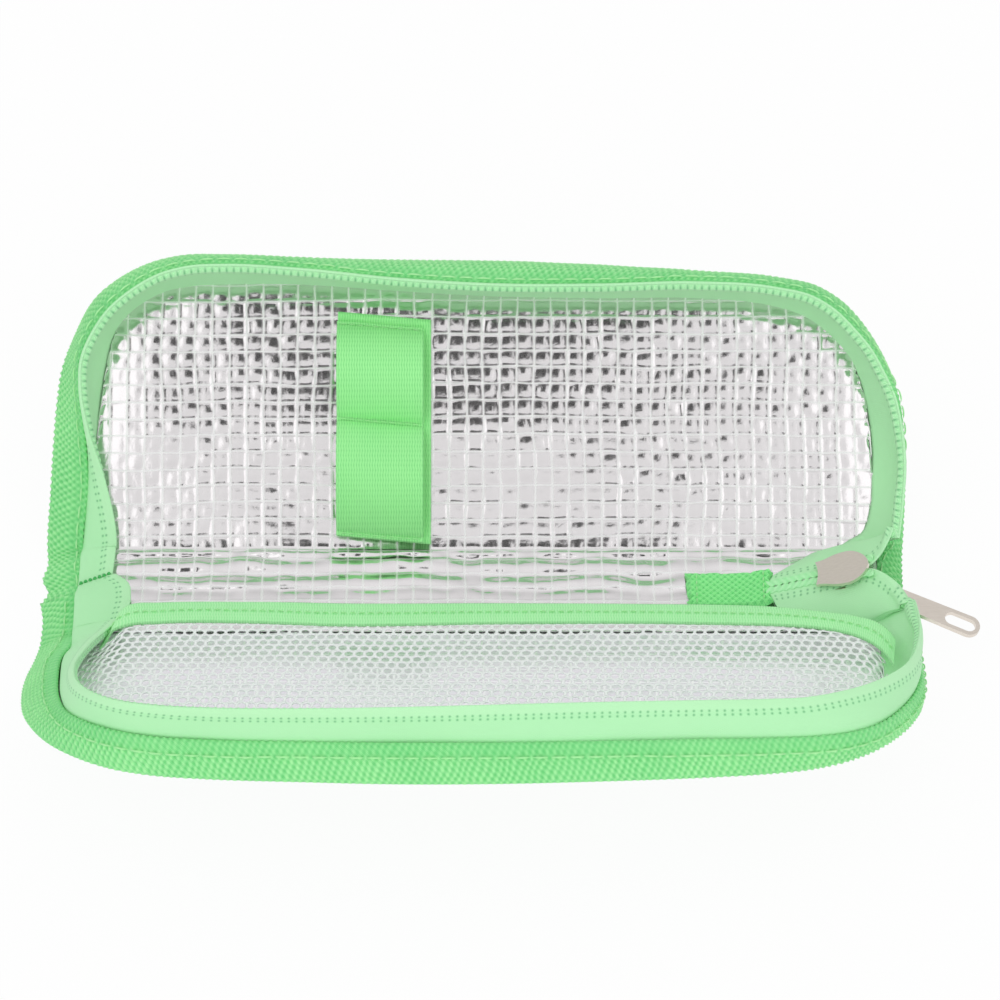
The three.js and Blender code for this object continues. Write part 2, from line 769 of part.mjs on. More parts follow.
// The bridge seen from the side: an arch under the outer wing.
function bridge() {
  const end = sliderNose - bridgeFromNose;
  const start = end - bridgeLength;
  const top = channelBase - wingThickness / 2;
  const base = channelBase - wingThickness - bridgeRoom - bridgeWall;
  const shape = new THREE.Shape();
  shape.moveTo(start, top);
  shape.quadraticCurveTo(start, base, start + bridgeLength / 2, base);
  shape.quadraticCurveTo(end, base, end, top);
  const hole = new THREE.Path();
  const roof = channelBase - wingThickness;
  hole.moveTo(start + bridgeWall, roof);
  hole.quadraticCurveTo(start + bridgeWall, base + bridgeWall, start + bridgeLength / 2, base + bridgeWall);
  hole.quadraticCurveTo(end - bridgeWall, base + bridgeWall, end - bridgeWall, roof);
  hole.closePath();
  shape.closePath();
  shape.holes.push(hole);
  const geometry = new THREE.ExtrudeGeometry(shape, {
    depth: bridgeWidth,
    bevelEnabled: false,
    curveSegments: roundSteps,
  });
  geometry.rotateX(Math.PI / 2);
  return geometry.translate(0, bridgeWidth / 2, 0);
}

// The post that parts the two rows, a leaf shape between the wings.
function post() {
  const end = sliderNose - postFromNose;
  const start = end - postLength;
  const shape = new THREE.Shape();
  shape.moveTo(start, 0);
  shape.quadraticCurveTo(start + postLength / 2, -postHalfWidth * 2, end, 0);
  shape.quadraticCurveTo(start + postLength / 2, postHalfWidth * 2, start, 0);
  const base = channelBase - wingThickness / 2;
  return slab(shape, base, channelTop + wingThickness / 2 - base);
}

function sliderBody() {
  const parts = [
    slab(wingShape(), channelTop, wingThickness),
    slab(wingShape(), channelBase - wingThickness, wingThickness),
    flange(1),
    flange(-1),
    post(),
    bridge(),
  ];
  return geometryOf(parts.map(solidOf).reduce((all, next) => all.add(next)));
}
tail.add(piece("slider_body", sliderBody(), nickel));

// Puller: a flat bar with an eye round the bridge and an oblong hole at its free end.
// Its own frame starts at the middle of the eye's bar, with the puller along +X.
function pullerGeometry() {
  const eyeEnd = eyeBar / 2 + eyeWindowLength;
  const waistX = eyeEnd + eyeBar * 2;
  const end = pullerLength;
  const round = pullerWidth / 2;
  const shape = new THREE.Shape();
  shape.moveTo(-eyeBar / 2, -pullerWidth / 2);
  shape.lineTo(eyeEnd, -pullerWidth / 2);
  shape.quadraticCurveTo(waistX, -pullerWaist / 2, waistX + eyeWindowLength, -pullerWaist / 2);
  shape.lineTo(end - round, -pullerWidth / 2);
  shape.absarc(end - round, 0, round, -Math.PI / 2, Math.PI / 2, false);
  shape.lineTo(waistX + eyeWindowLength, pullerWaist / 2);
  shape.quadraticCurveTo(waistX, pullerWaist / 2, eyeEnd, pullerWidth / 2);
  shape.lineTo(-eyeBar / 2, pullerWidth / 2);
  shape.closePath();
  const window = new THREE.Path();
  window.moveTo(eyeBar / 2, -eyeWindowWidth / 2);
  window.lineTo(eyeEnd, -eyeWindowWidth / 2);
  window.lineTo(eyeEnd, eyeWindowWidth / 2);
  window.lineTo(eyeBar / 2, eyeWindowWidth / 2);
  window.closePath();
  const holeRound = pullerHoleWidth / 2;
  const holeEnd = end - (pullerWidth - pullerHoleWidth) / 2 - holeRound;
  const holeStart = holeEnd - pullerHoleLength + pullerHoleWidth;
  const hole = new THREE.Path();
  hole.moveTo(holeStart, -holeRound);
  hole.lineTo(holeEnd, -holeRound);
  hole.absarc(holeEnd, 0, holeRound, -Math.PI / 2, Math.PI / 2, false);
  hole.lineTo(holeStart, holeRound);
  hole.absarc(holeStart, 0, holeRound, Math.PI / 2, Math.PI * 1.5, false);
  hole.closePath();
  shape.holes.push(window, hole);
  return slab(shape, -pullerThickness / 2, pullerThickness);
}
const pivotInTail = new THREE.Vector3(
  sliderNose - bridgeFromNose - bridgeWall - eyeFromLeg,
  0,
  channelBase - wingThickness - bridgeRoom / 2,
);
const pivot = pivotInTail.applyAxisAngle(new THREE.Vector3(0, 1, 0), -tailAngle).add(tailPlace);
const puller = piece("slider_puller", pullerGeometry(), nickel);
puller.rotation.set(0, pullerDrop, pullerYaw, "ZYX");
puller.position.copy(pivot);
object.add(puller);

export default object;
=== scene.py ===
# %% [markdown]
# An open cooling case for insulin pens, lit in a plain white studio. The imported CAD model gives the
# frame: every piece made here stands where a CAD solid stands. A piece given one body rides on it,
# and a piece given a half and its side keeps its place in the room and rides on no body.
# The slider and its puller are hard parts, so they keep their CAD shapes. All cloth, foil, net, coil
# and elastic is made again here as thin curved surfaces.

# %% Load the frame
import bpy
import numpy as np
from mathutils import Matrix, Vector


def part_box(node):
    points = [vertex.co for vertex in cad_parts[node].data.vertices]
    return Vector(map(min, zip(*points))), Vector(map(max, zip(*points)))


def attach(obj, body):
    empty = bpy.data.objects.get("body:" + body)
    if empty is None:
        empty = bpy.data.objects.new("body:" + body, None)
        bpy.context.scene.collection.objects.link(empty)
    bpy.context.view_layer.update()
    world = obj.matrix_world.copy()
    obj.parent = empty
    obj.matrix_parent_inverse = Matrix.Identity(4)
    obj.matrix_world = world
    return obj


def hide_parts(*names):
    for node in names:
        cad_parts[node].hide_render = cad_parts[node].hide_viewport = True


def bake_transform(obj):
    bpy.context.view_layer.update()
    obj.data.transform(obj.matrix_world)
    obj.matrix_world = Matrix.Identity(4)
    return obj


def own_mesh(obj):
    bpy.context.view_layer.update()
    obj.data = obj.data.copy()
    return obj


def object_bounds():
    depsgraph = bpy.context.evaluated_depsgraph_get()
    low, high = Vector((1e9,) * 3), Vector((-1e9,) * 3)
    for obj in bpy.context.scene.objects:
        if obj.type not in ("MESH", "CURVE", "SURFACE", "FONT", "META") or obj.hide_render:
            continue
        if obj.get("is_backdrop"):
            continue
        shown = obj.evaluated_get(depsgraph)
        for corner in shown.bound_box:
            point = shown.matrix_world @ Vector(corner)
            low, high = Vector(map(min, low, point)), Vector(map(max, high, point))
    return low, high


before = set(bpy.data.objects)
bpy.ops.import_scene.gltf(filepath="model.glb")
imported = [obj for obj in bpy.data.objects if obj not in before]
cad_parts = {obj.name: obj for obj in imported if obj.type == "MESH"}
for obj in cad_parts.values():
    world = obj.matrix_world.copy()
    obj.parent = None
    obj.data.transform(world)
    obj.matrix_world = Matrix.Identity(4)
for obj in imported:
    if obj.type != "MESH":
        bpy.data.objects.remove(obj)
cad_box = [list(corner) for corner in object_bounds()]
print("CAD box in metres:", cad_box)

# %% [markdown]
# The case is a flat cut that is bent at two creases. So each place is written as on the flat cut:
# x along the case, v across it from the crease outwards (negative on the spine), and w above the
# outer cloth. One function folds that flat place into the room, with a small round at the crease.

# %% Fold the flat cut
MM = 0.001
OPEN_ANGLE = np.radians(28.5)
HALF_LENGTH = 102.5
HALF_DEPTH = 70.6
CORNER = 39.0
HALF_SPINE = 13.5
CREASE_ROUND = 3.0
TRAY_FLOOR = 4.2

UP = np.array([0.0, 0.0, 1.0])

FOLD_V = np.linspace(-40.0, 90.0, 5201)
FOLD_SHARE = np.clip((FOLD_V + CREASE_ROUND) / (2 * CREASE_ROUND), 0, 1)
FOLD_TURN = OPEN_ANGLE * FOLD_SHARE * FOLD_SHARE * (3 - 2 * FOLD_SHARE)
FOLD_STEP = FOLD_V[1] - FOLD_V[0]
FOLD_Y = np.cumsum(np.cos(FOLD_TURN)) * FOLD_STEP
FOLD_Z = np.cumsum(np.sin(FOLD_TURN)) * FOLD_STEP
FOLD_Y += HALF_SPINE - np.interp(0, FOLD_V, FOLD_Y)


def fold(places, side):
    """World place in metres of flat places (..., 3) in mm. The path across the cut turns from level to
    the opening angle by a smooth step at the crease, and w is measured square to the path.
    side is 1 for the back half and -1 for the front half."""
    x, v, w = places[..., 0], places[..., 1], places[..., 2]
    turn = np.interp(v, FOLD_V, FOLD_TURN)
    y = np.interp(v, FOLD_V, FOLD_Y) - w * np.sin(turn)
    z = np.interp(v, FOLD_V, FOLD_Z) + w * np.cos(turn)
    return np.stack([x, side * y, z], -1) * MM


def smooth(value, low, high):
    """Smooth step from 0 at low to 1 at high."""
    share = np.clip((value - low) / (high - low), 0, 1)
    return share * share * (3 - 2 * share)


def far_edge(x, inset):
    """How far the outline reaches across the cut at x: straight, then a quarter circle at each end."""
    turn = HALF_LENGTH - CORNER
    radius = CORNER - inset
    past = np.clip(np.abs(x) - turn, 0, radius)
    return HALF_DEPTH - CORNER + np.sqrt(np.maximum(radius * radius - past * past, 0))


print("crease at y =", HALF_SPINE, "mm, far edge at v =", far_edge(np.array([0.0]), 0.0)[0], "mm")

# %% [markdown]
# Every surface is a grid of points that numpy works out. Small helpers turn such a grid into a mesh. A
# point attribute called cloth holds the place on the cloth in mm, so that a weave or a row of
# stitches can follow the cloth round every bend, and one called relief holds how high a thread lies.
# Cloth is painted darker where its relief is low, as painted shade between the threads. On the zip
# tape relief holds a painted highlight instead.

# %% Mesh helpers
def value_noise(x, v, scale, seed):
    """Noise from 0 to 1: random values on a square lattice of that scale, blended by smooth steps."""
    table = np.random.default_rng(seed).random((128, 128))
    a, b = x / scale + 50, v / scale + 50
    i, j = np.floor(a).astype(int), np.floor(b).astype(int)
    p, q = smooth(a - i, 0, 1), smooth(b - j, 0, 1)
    corner = lambda m, n: table[(i + m) % 128, (j + n) % 128]
    return ((corner(0, 0) * (1 - p) + corner(1, 0) * p) * (1 - q)
            + (corner(0, 1) * (1 - p) + corner(1, 1) * p) * q)


def wander(x, v, scale, seed):
    """Noise about zero, from -0.5 to 0.5."""
    return value_noise(x, v, scale, seed) - 0.5


def wave(along, pitch):
    """A cosine from 0 to 1 whose crests lie a pitch apart."""
    return 0.5 + 0.5 * np.cos(2 * np.pi * along / pitch)


def add_mesh(name, points, faces, material, cloth=None, relief=None):
    """A mesh object from points (n, 3) in metres and a list of faces, with its attributes and material."""
    mesh = bpy.data.meshes.new(name)
    mesh.from_pydata(points.reshape(-1, 3).tolist(), [], faces)
    mesh.polygons.foreach_set("use_smooth", np.ones(len(mesh.polygons), bool))
    if cloth is not None:
        attribute = mesh.attributes.new("cloth", "FLOAT_VECTOR", "POINT")
        attribute.data.foreach_set("vector", cloth.reshape(-1).astype(np.float32))
    if relief is not None:
        attribute = mesh.attributes.new("relief", "FLOAT", "POINT")
        attribute.data.foreach_set("value", relief.reshape(-1).astype(np.float32))
    mesh.materials.append(material)
    mesh.update()
    piece = bpy.data.objects.new(name, mesh)
    bpy.context.scene.collection.objects.link(piece)
    return piece


def cloth_place(along, across):
    """The cloth attribute of points at these places along and across their cloth in mm."""
    return np.stack(np.broadcast_arrays(along, across, 0.0), -1)


def grid_faces(rows, columns, wrap=False, flip=False):
    """Quads of a grid of rows by columns points, row by row. wrap joins the last column to the first."""
    width = columns if wrap else columns - 1
    row, column = np.meshgrid(np.arange(rows - 1), np.arange(width), indexing="ij")
    right = (column + 1) % columns
    quads = np.stack([
        row * columns + column,
        row * columns + right,
        (row + 1) * columns + right,
        (row + 1) * columns + column,
    ], -1).reshape(-1, 4)
    return quads[:, ::-1] if flip else quads


def tube(name, sections, material, cloth=None, relief=None, flip=False):
    """A closed loft through sections (n, k, 3), with a flat end at both ends."""
    rows, columns = sections.shape[:2]
    faces = grid_faces(rows, columns, wrap=True, flip=flip).tolist()
    first = list(range(columns))
    last = [(rows - 1) * columns + i for i in range(columns)]
    faces.append(first if flip else first[::-1])
    faces.append(last[::-1] if flip else last)
    return add_mesh(name, sections, faces, material, cloth, relief)


def finish(piece, body, nodes=()):
    """Gives the piece to the body that carries it and hides the CAD nodes that it stands for. A pair of a
    half and its side instead bakes the piece's place into its mesh, so that it rides on no body."""
    if isinstance(body, str):
        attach(piece, body)
    else:
        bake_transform(piece)
    if nodes:
        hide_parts(*nodes)
    triangles = sum(len(p.vertices) - 2 for p in piece.data.polygons)
    print(f"{piece.name}: {triangles} triangles")
    return piece


# %% [markdown]
# Materials are built by a small helper that adds a node, fills its inputs and gives back its first
# output. Cloth colours are kept a little under full strength, so that they don't burn out to white.

# %% Material helpers
def srgb(red, green, blue):
    """Scene colour of an 8-bit screen colour."""
    value = np.array([red, green, blue]) / 255
    linear = np.where(value <= 0.04045, value / 12.92, ((value + 0.055) / 1.055) ** 2.4)
    return (*linear.tolist(), 1.0)


def grey(level):
    """Scene colour of an even grey."""
    return (level, level, level, 1.0)


def put(tree, kind, *inputs, **settings):
    """Adds a node, sets its options, and links or fills its inputs in order. None skips an input."""
    node = tree.nodes.new(kind)
    for option, value in settings.items():
        setattr(node, option, value)
    for socket, value in zip(node.inputs, inputs):
        if isinstance(value, bpy.types.NodeSocket):
            tree.links.new(value, socket)
        elif value is not None:
            socket.default_value = value
    return node.outputs[0]


def math(tree, operation, *inputs):
    """One Math node."""
    return put(tree, "ShaderNodeMath", *inputs, operation=operation)


def mix(tree, factor, first, second):
    """Mixes two colours by a factor."""
    node = tree.nodes.new("ShaderNodeMix")
    node.data_type = "RGBA"
    for socket, value in ((node.inputs[0], factor), (node.inputs[6], first), (node.inputs[7], second)):
        if isinstance(value, bpy.types.NodeSocket):
            tree.links.new(value, socket)
        else:
            socket.default_value = value
    return node.outputs[2]


def attribute(tree, name, output):
    """Reads a point attribute of the mesh."""
    node = tree.nodes.new("ShaderNodeAttribute")
    node.attribute_name = name
    return node.outputs[output]


def start_material(name, **fixed):
    """A material with one Principled BSDF, whose plain values are set on its own sockets."""
    material = bpy.data.materials.new(name)
    material.use_nodes = True
    shader = material.node_tree.nodes["Principled BSDF"]
    for socket, value in fixed.items():
        shader.inputs[socket.replace("_", " ")].default_value = value
    return material, material.node_tree, shader


def noise(tree, vector, scale, detail=3.0):
    """Value of a noise texture."""
    node = tree.nodes.new("ShaderNodeTexNoise")
    node.inputs["Scale"].default_value = scale
    node.inputs["Detail"].default_value = detail
    tree.links.new(vector, node.inputs["Vector"])
    return node.outputs["Fac"]


def paint(tree, shader, factor, first, second):
    """Two colours mixed by a factor as the shader's own colour."""
    tree.links.new(mix(tree, factor, first, second), shader.inputs["Base Color"])


def object_place(tree):
    """Object coordinates."""
    return tree.nodes.new("ShaderNodeTexCoord").outputs["Object"]


def bump(tree, shader, height, distance, strength=1.0):
    """A Bump node on the shader's Normal, with its distance in metres."""
    node = tree.nodes.new("ShaderNodeBump")
    node.inputs["Strength"].default_value = strength
    node.inputs["Distance"].default_value = distance
    tree.links.new(height, node.inputs["Height"])
    tree.links.new(node.outputs["Normal"], shader.inputs["Normal"])


# %% [markdown]
# Threads show in every cloth here. A shared group turns a place on the cloth in mm into crossing fine
# threads and gives their height, which also darkens the gaps between them as painted shade.

# %% Thread group
def thread_group():
    """Height is the larger of two crossing waves, one along each direction of the cloth."""
    group = bpy.data.node_groups.new("crossing_threads", "ShaderNodeTree")
    group.interface.new_socket("Place", in_out="INPUT", socket_type="NodeSocketVector")
    group.interface.new_socket("Along", in_out="INPUT", socket_type="NodeSocketFloat")
    group.interface.new_socket("Across", in_out="INPUT", socket_type="NodeSocketFloat")
    group.interface.new_socket("Height", in_out="OUTPUT", socket_type="NodeSocketFloat")
    entry = group.nodes.new("NodeGroupInput")
    leave = group.nodes.new("NodeGroupOutput")
    parts = group.nodes.new("ShaderNodeSeparateXYZ")
    group.links.new(entry.outputs["Place"], parts.inputs[0])
    turns = [
        math(group, "MULTIPLY", parts.outputs[0], entry.outputs["Along"]),
        math(group, "MULTIPLY", parts.outputs[1], entry.outputs["Across"]),
    ]
    first = math(group, "SINE", math(group, "ADD", turns[0], turns[1]))
    second = math(group, "SINE", math(group, "SUBTRACT", turns[0], turns[1]))
    top = math(group, "MAXIMUM", first, second)
    group.links.new(math(group, "MULTIPLY_ADD", top, 0.5, 0.5), leave.inputs["Height"])
    return group


THREADS = thread_group()


def threads(tree, place, along_pitch, across_pitch):
    """The thread group with its pitches in mm."""
    node = tree.nodes.new("ShaderNodeGroup")
    node.node_tree = THREADS
    tree.links.new(place, node.inputs["Place"])
    node.inputs["Along"].default_value = 2 * np.pi / along_pitch
    node.inputs["Across"].default_value = 2 * np.pi / across_pitch
    return node.outputs["Height"]


BLOTCH_SCALE = 60.0
BLOTCH_SHARE = 0.3
WEAVE_SHARE = 0.35
RELIEF_SHARE = 0.75
HOLE_SHARE = 0.8
HOLE_DEPTH = 2.0
HOLE_COLOUR = srgb(60, 165, 95)


def cloth_material(name, high, low, pitches, bump_mm, rough=0.85, sheen=0.15, stitched=False):
    """A woven cloth: low colour between threads, as painted shade, and high colour on them, with soft
    blotches and a fine bump. stitched adds two rows of small dark stitch holes beside the free edge of
    the zip tape."""
    material, tree, shader = start_material(name, Roughness=rough, Sheen_Weight=sheen, Sheen_Roughness=0.6)
    place = attribute(tree, "cloth", "Vector")
    relief = attribute(tree, "relief", "Fac")
    weave = threads(tree, place, *pitches)
    blotch = noise(tree, object_place(tree), BLOTCH_SCALE)
    # Painted shade: the colour falls to the low one where the threads and the relief lie low.
    shade = math(tree, "MULTIPLY_ADD", weave, WEAVE_SHARE, math(tree, "MULTIPLY", relief, RELIEF_SHARE))
    shade = math(tree, "ADD", shade, math(tree, "MULTIPLY_ADD", blotch, BLOTCH_SHARE, -BLOTCH_SHARE / 2))
    shade.node.use_clamp = True
    colour = mix(tree, shade, low, high)
    height = weave
    if stitched:
        hole = stitch_rows(tree, place)
        colour = mix(tree, math(tree, "MULTIPLY", hole, HOLE_SHARE), colour, HOLE_COLOUR)
        height = math(tree, "SUBTRACT", weave, math(tree, "MULTIPLY", hole, HOLE_DEPTH))
    tree.links.new(colour, shader.inputs["Base Color"])
    bump(tree, shader, height, bump_mm * MM)
    return material


STITCH_PITCH = 1.7
STITCH_ROWS = (2.1, 3.0)
HOLE_REACH = 0.45


def stitch_rows(tree, place):
    """Mask of round holes at each pitch along two rows at set distances from the free edge. It falls
    evenly from 1 in a hole's middle to 0 at its reach."""
    parts = tree.nodes.new("ShaderNodeSeparateXYZ")
    tree.links.new(place, parts.inputs[0])
    share = math(tree, "FRACT", math(tree, "DIVIDE", parts.outputs[0], STITCH_PITCH))
    along = math(tree, "MULTIPLY", math(tree, "SUBTRACT", share, 0.5), STITCH_PITCH)
    mask = None
    for row in STITCH_ROWS:
        across = math(tree, "SUBTRACT", parts.outputs[1], row)
        gap = math(tree, "SQRT", math(tree, "ADD", math(tree, "MULTIPLY", along, along),
                                      math(tree, "MULTIPLY", across, across)))
        dot = math(tree, "SUBTRACT", 1.0, math(tree, "DIVIDE", gap, HOLE_REACH))
        dot.node.use_clamp = True
        mask = dot if mask is None else math(tree, "MAXIMUM", mask, dot)
    return mask


RIB_PITCH = 0.62
RIBS = (RIB_PITCH, 2.4)
WEBBING = cloth_material("webbing_cloth", srgb(180, 253, 175), srgb(58, 197, 100), (0.55, 0.5), 0.06)
TAPE = cloth_material("tape_cloth", srgb(186, 242, 188), srgb(160, 234, 169), (0.9, 0.42), 0.03,
                      rough=0.7, stitched=True)
COIL = cloth_material("coil_nylon", srgb(182, 248, 186), srgb(160, 240, 168), (0.6, 0.6), 0.02, rough=0.5)
ELASTIC = cloth_material("elastic_cloth", srgb(168, 249, 162), srgb(92, 210, 108), RIBS, 0.05)
HEM_CLOTH = cloth_material("hem_elastic", srgb(188, 254, 187), srgb(118, 228, 132), RIBS, 0.05)
TAB = cloth_material("tab_webbing", srgb(152, 252, 156), srgb(60, 192, 101), (0.6, 0.6), 0.06)
THREAD = cloth_material("sewing_thread", srgb(186, 255, 180), srgb(140, 232, 140), (0.4, 0.4), 0.03)
DARK_THREAD = cloth_material("seam_thread", srgb(70, 190, 95), srgb(24, 120, 58), (0.4, 0.4), 0.03)
COVER = cloth_material("outer_cloth", srgb(120, 238, 130), srgb(52, 184, 88), (1.1, 1.1), 0.08)
FOAM = cloth_material("foam_edge", srgb(240, 243, 240), srgb(222, 228, 222), (0.5, 0.5), 0.05)
print("cloth materials made")

# %% [markdown]
# The lining is a bright metal film over a square scrim of white thread, quilted to foam. Each cell is
# a small shallow pillow that is tilted its own way, so neighbours mirror different parts of the room.
# The film is a true metal here, and the scrim lines are duller and whiter. Under the net the film is
# mostly matt and near white: a painted reflection of the net's white threads.

# %% Foil and metal
FILM_ROUGH = 0.13
LINE_ROUGHER = 0.35
LINE_WHITER = 0.85
LINE_MATT = 0.55
CRINKLE_DEPTH = 0.3
CRINKLE_STRENGTH = 0.14
CRINKLE_SCALE = 420.0
BRUSH_SCALES = (300.0, 2600.0, 2600.0)
YARN_SCALE = 1500.0


def foil_material(name, painted_reflection, film):
    """Metal film whose scrim lines, where relief is near 1, are whiter and duller. film is its colour
    between the lines. The matt share, given before film, makes the film matt: under the net the matt,
    near white film is a painted reflection of the net's white threads. Crinkles are the folds of a noise
    about its middle value."""
    material, tree, shader = start_material(name, Metallic=1.0)
    relief = attribute(tree, "relief", "Fac")
    place = object_place(tree)
    line = math(tree, "MULTIPLY", math(tree, "POWER", relief, 2.0), LINE_WHITER)
    paint(tree, shader, line, film, srgb(250, 250, 250))
    rough = math(tree, "MULTIPLY_ADD", line, LINE_ROUGHER, FILM_ROUGH)
    tree.links.new(rough, shader.inputs["Roughness"])
    metal = math(tree, "MULTIPLY_ADD", line, -LINE_MATT, 1.0 - painted_reflection)
    metal.node.use_clamp = True
    tree.links.new(metal, shader.inputs["Metallic"])
    crinkle = math(tree, "ABSOLUTE", math(tree, "SUBTRACT", noise(tree, place, CRINKLE_SCALE, 2.0), 0.5))
    bump(tree, shader, crinkle, CRINKLE_DEPTH * MM, CRINKLE_STRENGTH)
    return material


def nickel_material():
    """Plated metal with a fine grain that is brushed along its length."""
    material, tree, shader = start_material("nickel_plate", Metallic=1.0)
    place = object_place(tree)
    mapping = tree.nodes.new("ShaderNodeMapping")
    mapping.inputs["Scale"].default_value = BRUSH_SCALES
    tree.links.new(place, mapping.inputs["Vector"])
    grain = noise(tree, mapping.outputs[0], 1.0, 4.0)
    paint(tree, shader, grain, srgb(238, 229, 219), srgb(222, 212, 202))
    tree.links.new(math(tree, "MULTIPLY_ADD", grain, 0.22, 0.22), shader.inputs["Roughness"])
    bump(tree, shader, grain, 0.03 * MM, 0.6)
    return material


def net_material():
    """White knitted thread with a soft sheen."""
    material, tree, shader = start_material("net_thread", Roughness=0.6, Sheen_Weight=0.2)
    grain = noise(tree, object_place(tree), YARN_SCALE, 2.0)
    paint(tree, shader, grain, srgb(240, 244, 244), srgb(252, 253, 254))
    bump(tree, shader, grain, 0.1 * MM, 0.4)
    return material


FOIL = foil_material("lining_film", 0.0, srgb(236, 233, 234))
# Painted reflection: under the net the film is matt lavender white for the net's white threads; the lavender
# offsets the green light bounced from the tape and webbing.
NET_FOIL = foil_material("lining_film_under_net", 0.8, srgb(250, 242, 254))
NICKEL = nickel_material()
NET = net_material()

# %% [markdown]
# The camera stands 53 degrees up and 1.35 m off, with a long lens. The case lies on a white floor in
# a white room. A dark card hangs over the case between two bright ones, where only mirrors see them,
# as a photographer hangs them, because a bright film shows its shape only by what it reflects.

# %% Camera, room and lights
scene = bpy.context.scene
scene.view_settings.view_transform = "Standard"
CAMERA_DISTANCE = 1.35
CAMERA_TILT = np.radians(53)
PHOTO_SIZE = 1000
FOCAL_PIXELS = 5737.5
SENSOR = 36.0
ORIGIN_PIXEL = (471.5, 605.5)
FLOOR_SIZE = 3.0
FLOOR_DROP = 0.0002
FLOOR_GLOW = 0.95
ROOM_LIGHT = 0.84
CEILING_GLOW = 0.92
CEILING_FADE = 1.6
WALL_GLOW = 0.42
WHITE = grey(1.0)
CARD_TURN = np.radians(10)
SQUARE = np.array([[-1, -1, 0], [1, -1, 0], [1, 1, 0], [-1, 1, 0]]) / 2


def light(name, place, size, power):
    """A square area lamp that faces the case. Mirrors don't see it, as a soft lamp would show as a patch."""
    data = bpy.data.lights.new(name, "AREA")
    data.size = size
    data.energy = power
    lamp = bpy.data.objects.new(name, data)
    lamp.location = place
    scene.collection.objects.link(lamp)
    away = np.array(place) / np.linalg.norm(place)
    lamp.rotation_euler = (np.arccos(away[2]), 0, np.arctan2(away[1], away[0]) + np.pi / 2)
    lamp.visible_glossy = False
    return lamp


def make_camera():
    """The camera looks at the origin, and its shift puts the origin on its own pixel."""
    data = bpy.data.cameras.new("camera")
    data.sensor_width = SENSOR
    data.lens = FOCAL_PIXELS / PHOTO_SIZE * SENSOR
    data.shift_x = (PHOTO_SIZE / 2 - ORIGIN_PIXEL[0]) / PHOTO_SIZE
    data.shift_y = (ORIGIN_PIXEL[1] - PHOTO_SIZE / 2) / PHOTO_SIZE
    camera = bpy.data.objects.new("camera", data)
    camera.location = (0, -CAMERA_DISTANCE * np.cos(CAMERA_TILT), CAMERA_DISTANCE * np.sin(CAMERA_TILT))
    camera.rotation_euler = (np.pi / 2 - CAMERA_TILT, 0, 0)
    scene.collection.objects.link(camera)
    scene.camera = camera


def make_world():
    """White room: full white to the camera and less of it as light. Mirrors see it fade from a bright
    ceiling to dimmer walls, so that every bend of the film shows."""
    world = bpy.data.worlds.new("studio")
    world.use_nodes = True
    tree = world.node_tree
    path = tree.nodes.new("ShaderNodeLightPath")
    direction = tree.nodes.new("ShaderNodeTexCoord")
    parts = tree.nodes.new("ShaderNodeSeparateXYZ")
    tree.links.new(direction.outputs["Generated"], parts.inputs[0])
    height = math(tree, "MAXIMUM", parts.outputs["Z"], 0.0)
    share = math(tree, "POWER", height, CEILING_FADE)
    mirrored = math(tree, "MULTIPLY_ADD", share, CEILING_GLOW - WALL_GLOW, WALL_GLOW)
    seen = math(tree, "MAXIMUM", path.outputs["Is Camera Ray"], path.outputs["Is Transmission Ray"])
    glossy = math(tree, "MULTIPLY", path.outputs["Is Glossy Ray"], math(tree, "SUBTRACT", 1.0, seen))
    strength = math(tree, "MULTIPLY_ADD", seen, 1.0 - ROOM_LIGHT, ROOM_LIGHT)
    extra = math(tree, "MULTIPLY", glossy, math(tree, "SUBTRACT", mirrored, ROOM_LIGHT))
    back = tree.nodes["Background"]
    back.inputs["Color"].default_value = WHITE
    tree.links.new(math(tree, "ADD", strength, extra), back.inputs["Strength"])
    scene.world = world


def make_floor():
    """A white floor. The camera sees mostly its glow and a share of its shading, which keeps a faint
    shadow. Light that bounces off it is that of a plain matt floor."""
    material, tree, shader = start_material("floor_white", Roughness=0.9)
    grain = noise(tree, object_place(tree), 3.0)
    paint(tree, shader, grain, grey(0.86), grey(0.88))
    glow = tree.nodes.new("ShaderNodeEmission")
    glow.inputs["Color"].default_value = WHITE
    path = tree.nodes.new("ShaderNodeLightPath")
    blend = tree.nodes.new("ShaderNodeMixShader")
    seen = math(tree, "MAXIMUM", path.outputs["Is Camera Ray"], path.outputs["Is Glossy Ray"])
    tree.links.new(math(tree, "MULTIPLY", seen, FLOOR_GLOW), blend.inputs["Fac"])
    tree.links.new(shader.outputs[0], blend.inputs[1])
    tree.links.new(glow.outputs[0], blend.inputs[2])
    tree.links.new(blend.outputs[0], tree.nodes["Material Output"].inputs["Surface"])
    floor = add_mesh("floor", SQUARE * FLOOR_SIZE - UP * FLOOR_DROP, [[0, 1, 2, 3]], material)
    floor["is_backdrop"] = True


def make_card(name, place, size, glow):
    """A card that only mirrors see: no camera, no shadow and no bounced light. It leans to the camera."""
    material, tree, shader = start_material(name + "_paint", Roughness=0.9, Emission_Strength=glow)
    shade = noise(tree, object_place(tree), 9.0)
    paint(tree, shader, shade, grey(0.01), grey(0.02))
    shader.inputs["Emission Color"].default_value = WHITE
    cosine, sine = np.cos(CARD_TURN), np.sin(CARD_TURN)
    rock = np.array([[1, 0, 0], [0, cosine, -sine], [0, sine, cosine]])
    flat = SQUARE * np.array([*size, 0])
    card = add_mesh(name, flat @ rock.T + np.array(place), [[0, 1, 2, 3]], material)
    card.visible_camera = False
    card.visible_diffuse = False
    card.visible_shadow = False
    card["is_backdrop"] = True


make_camera()
make_world()
make_floor()
light("key", (-0.7, -0.3, 1.5), 1.0, 2.6)
light("fill", (0.9, 0.5, 1.3), 1.0, 1.2)
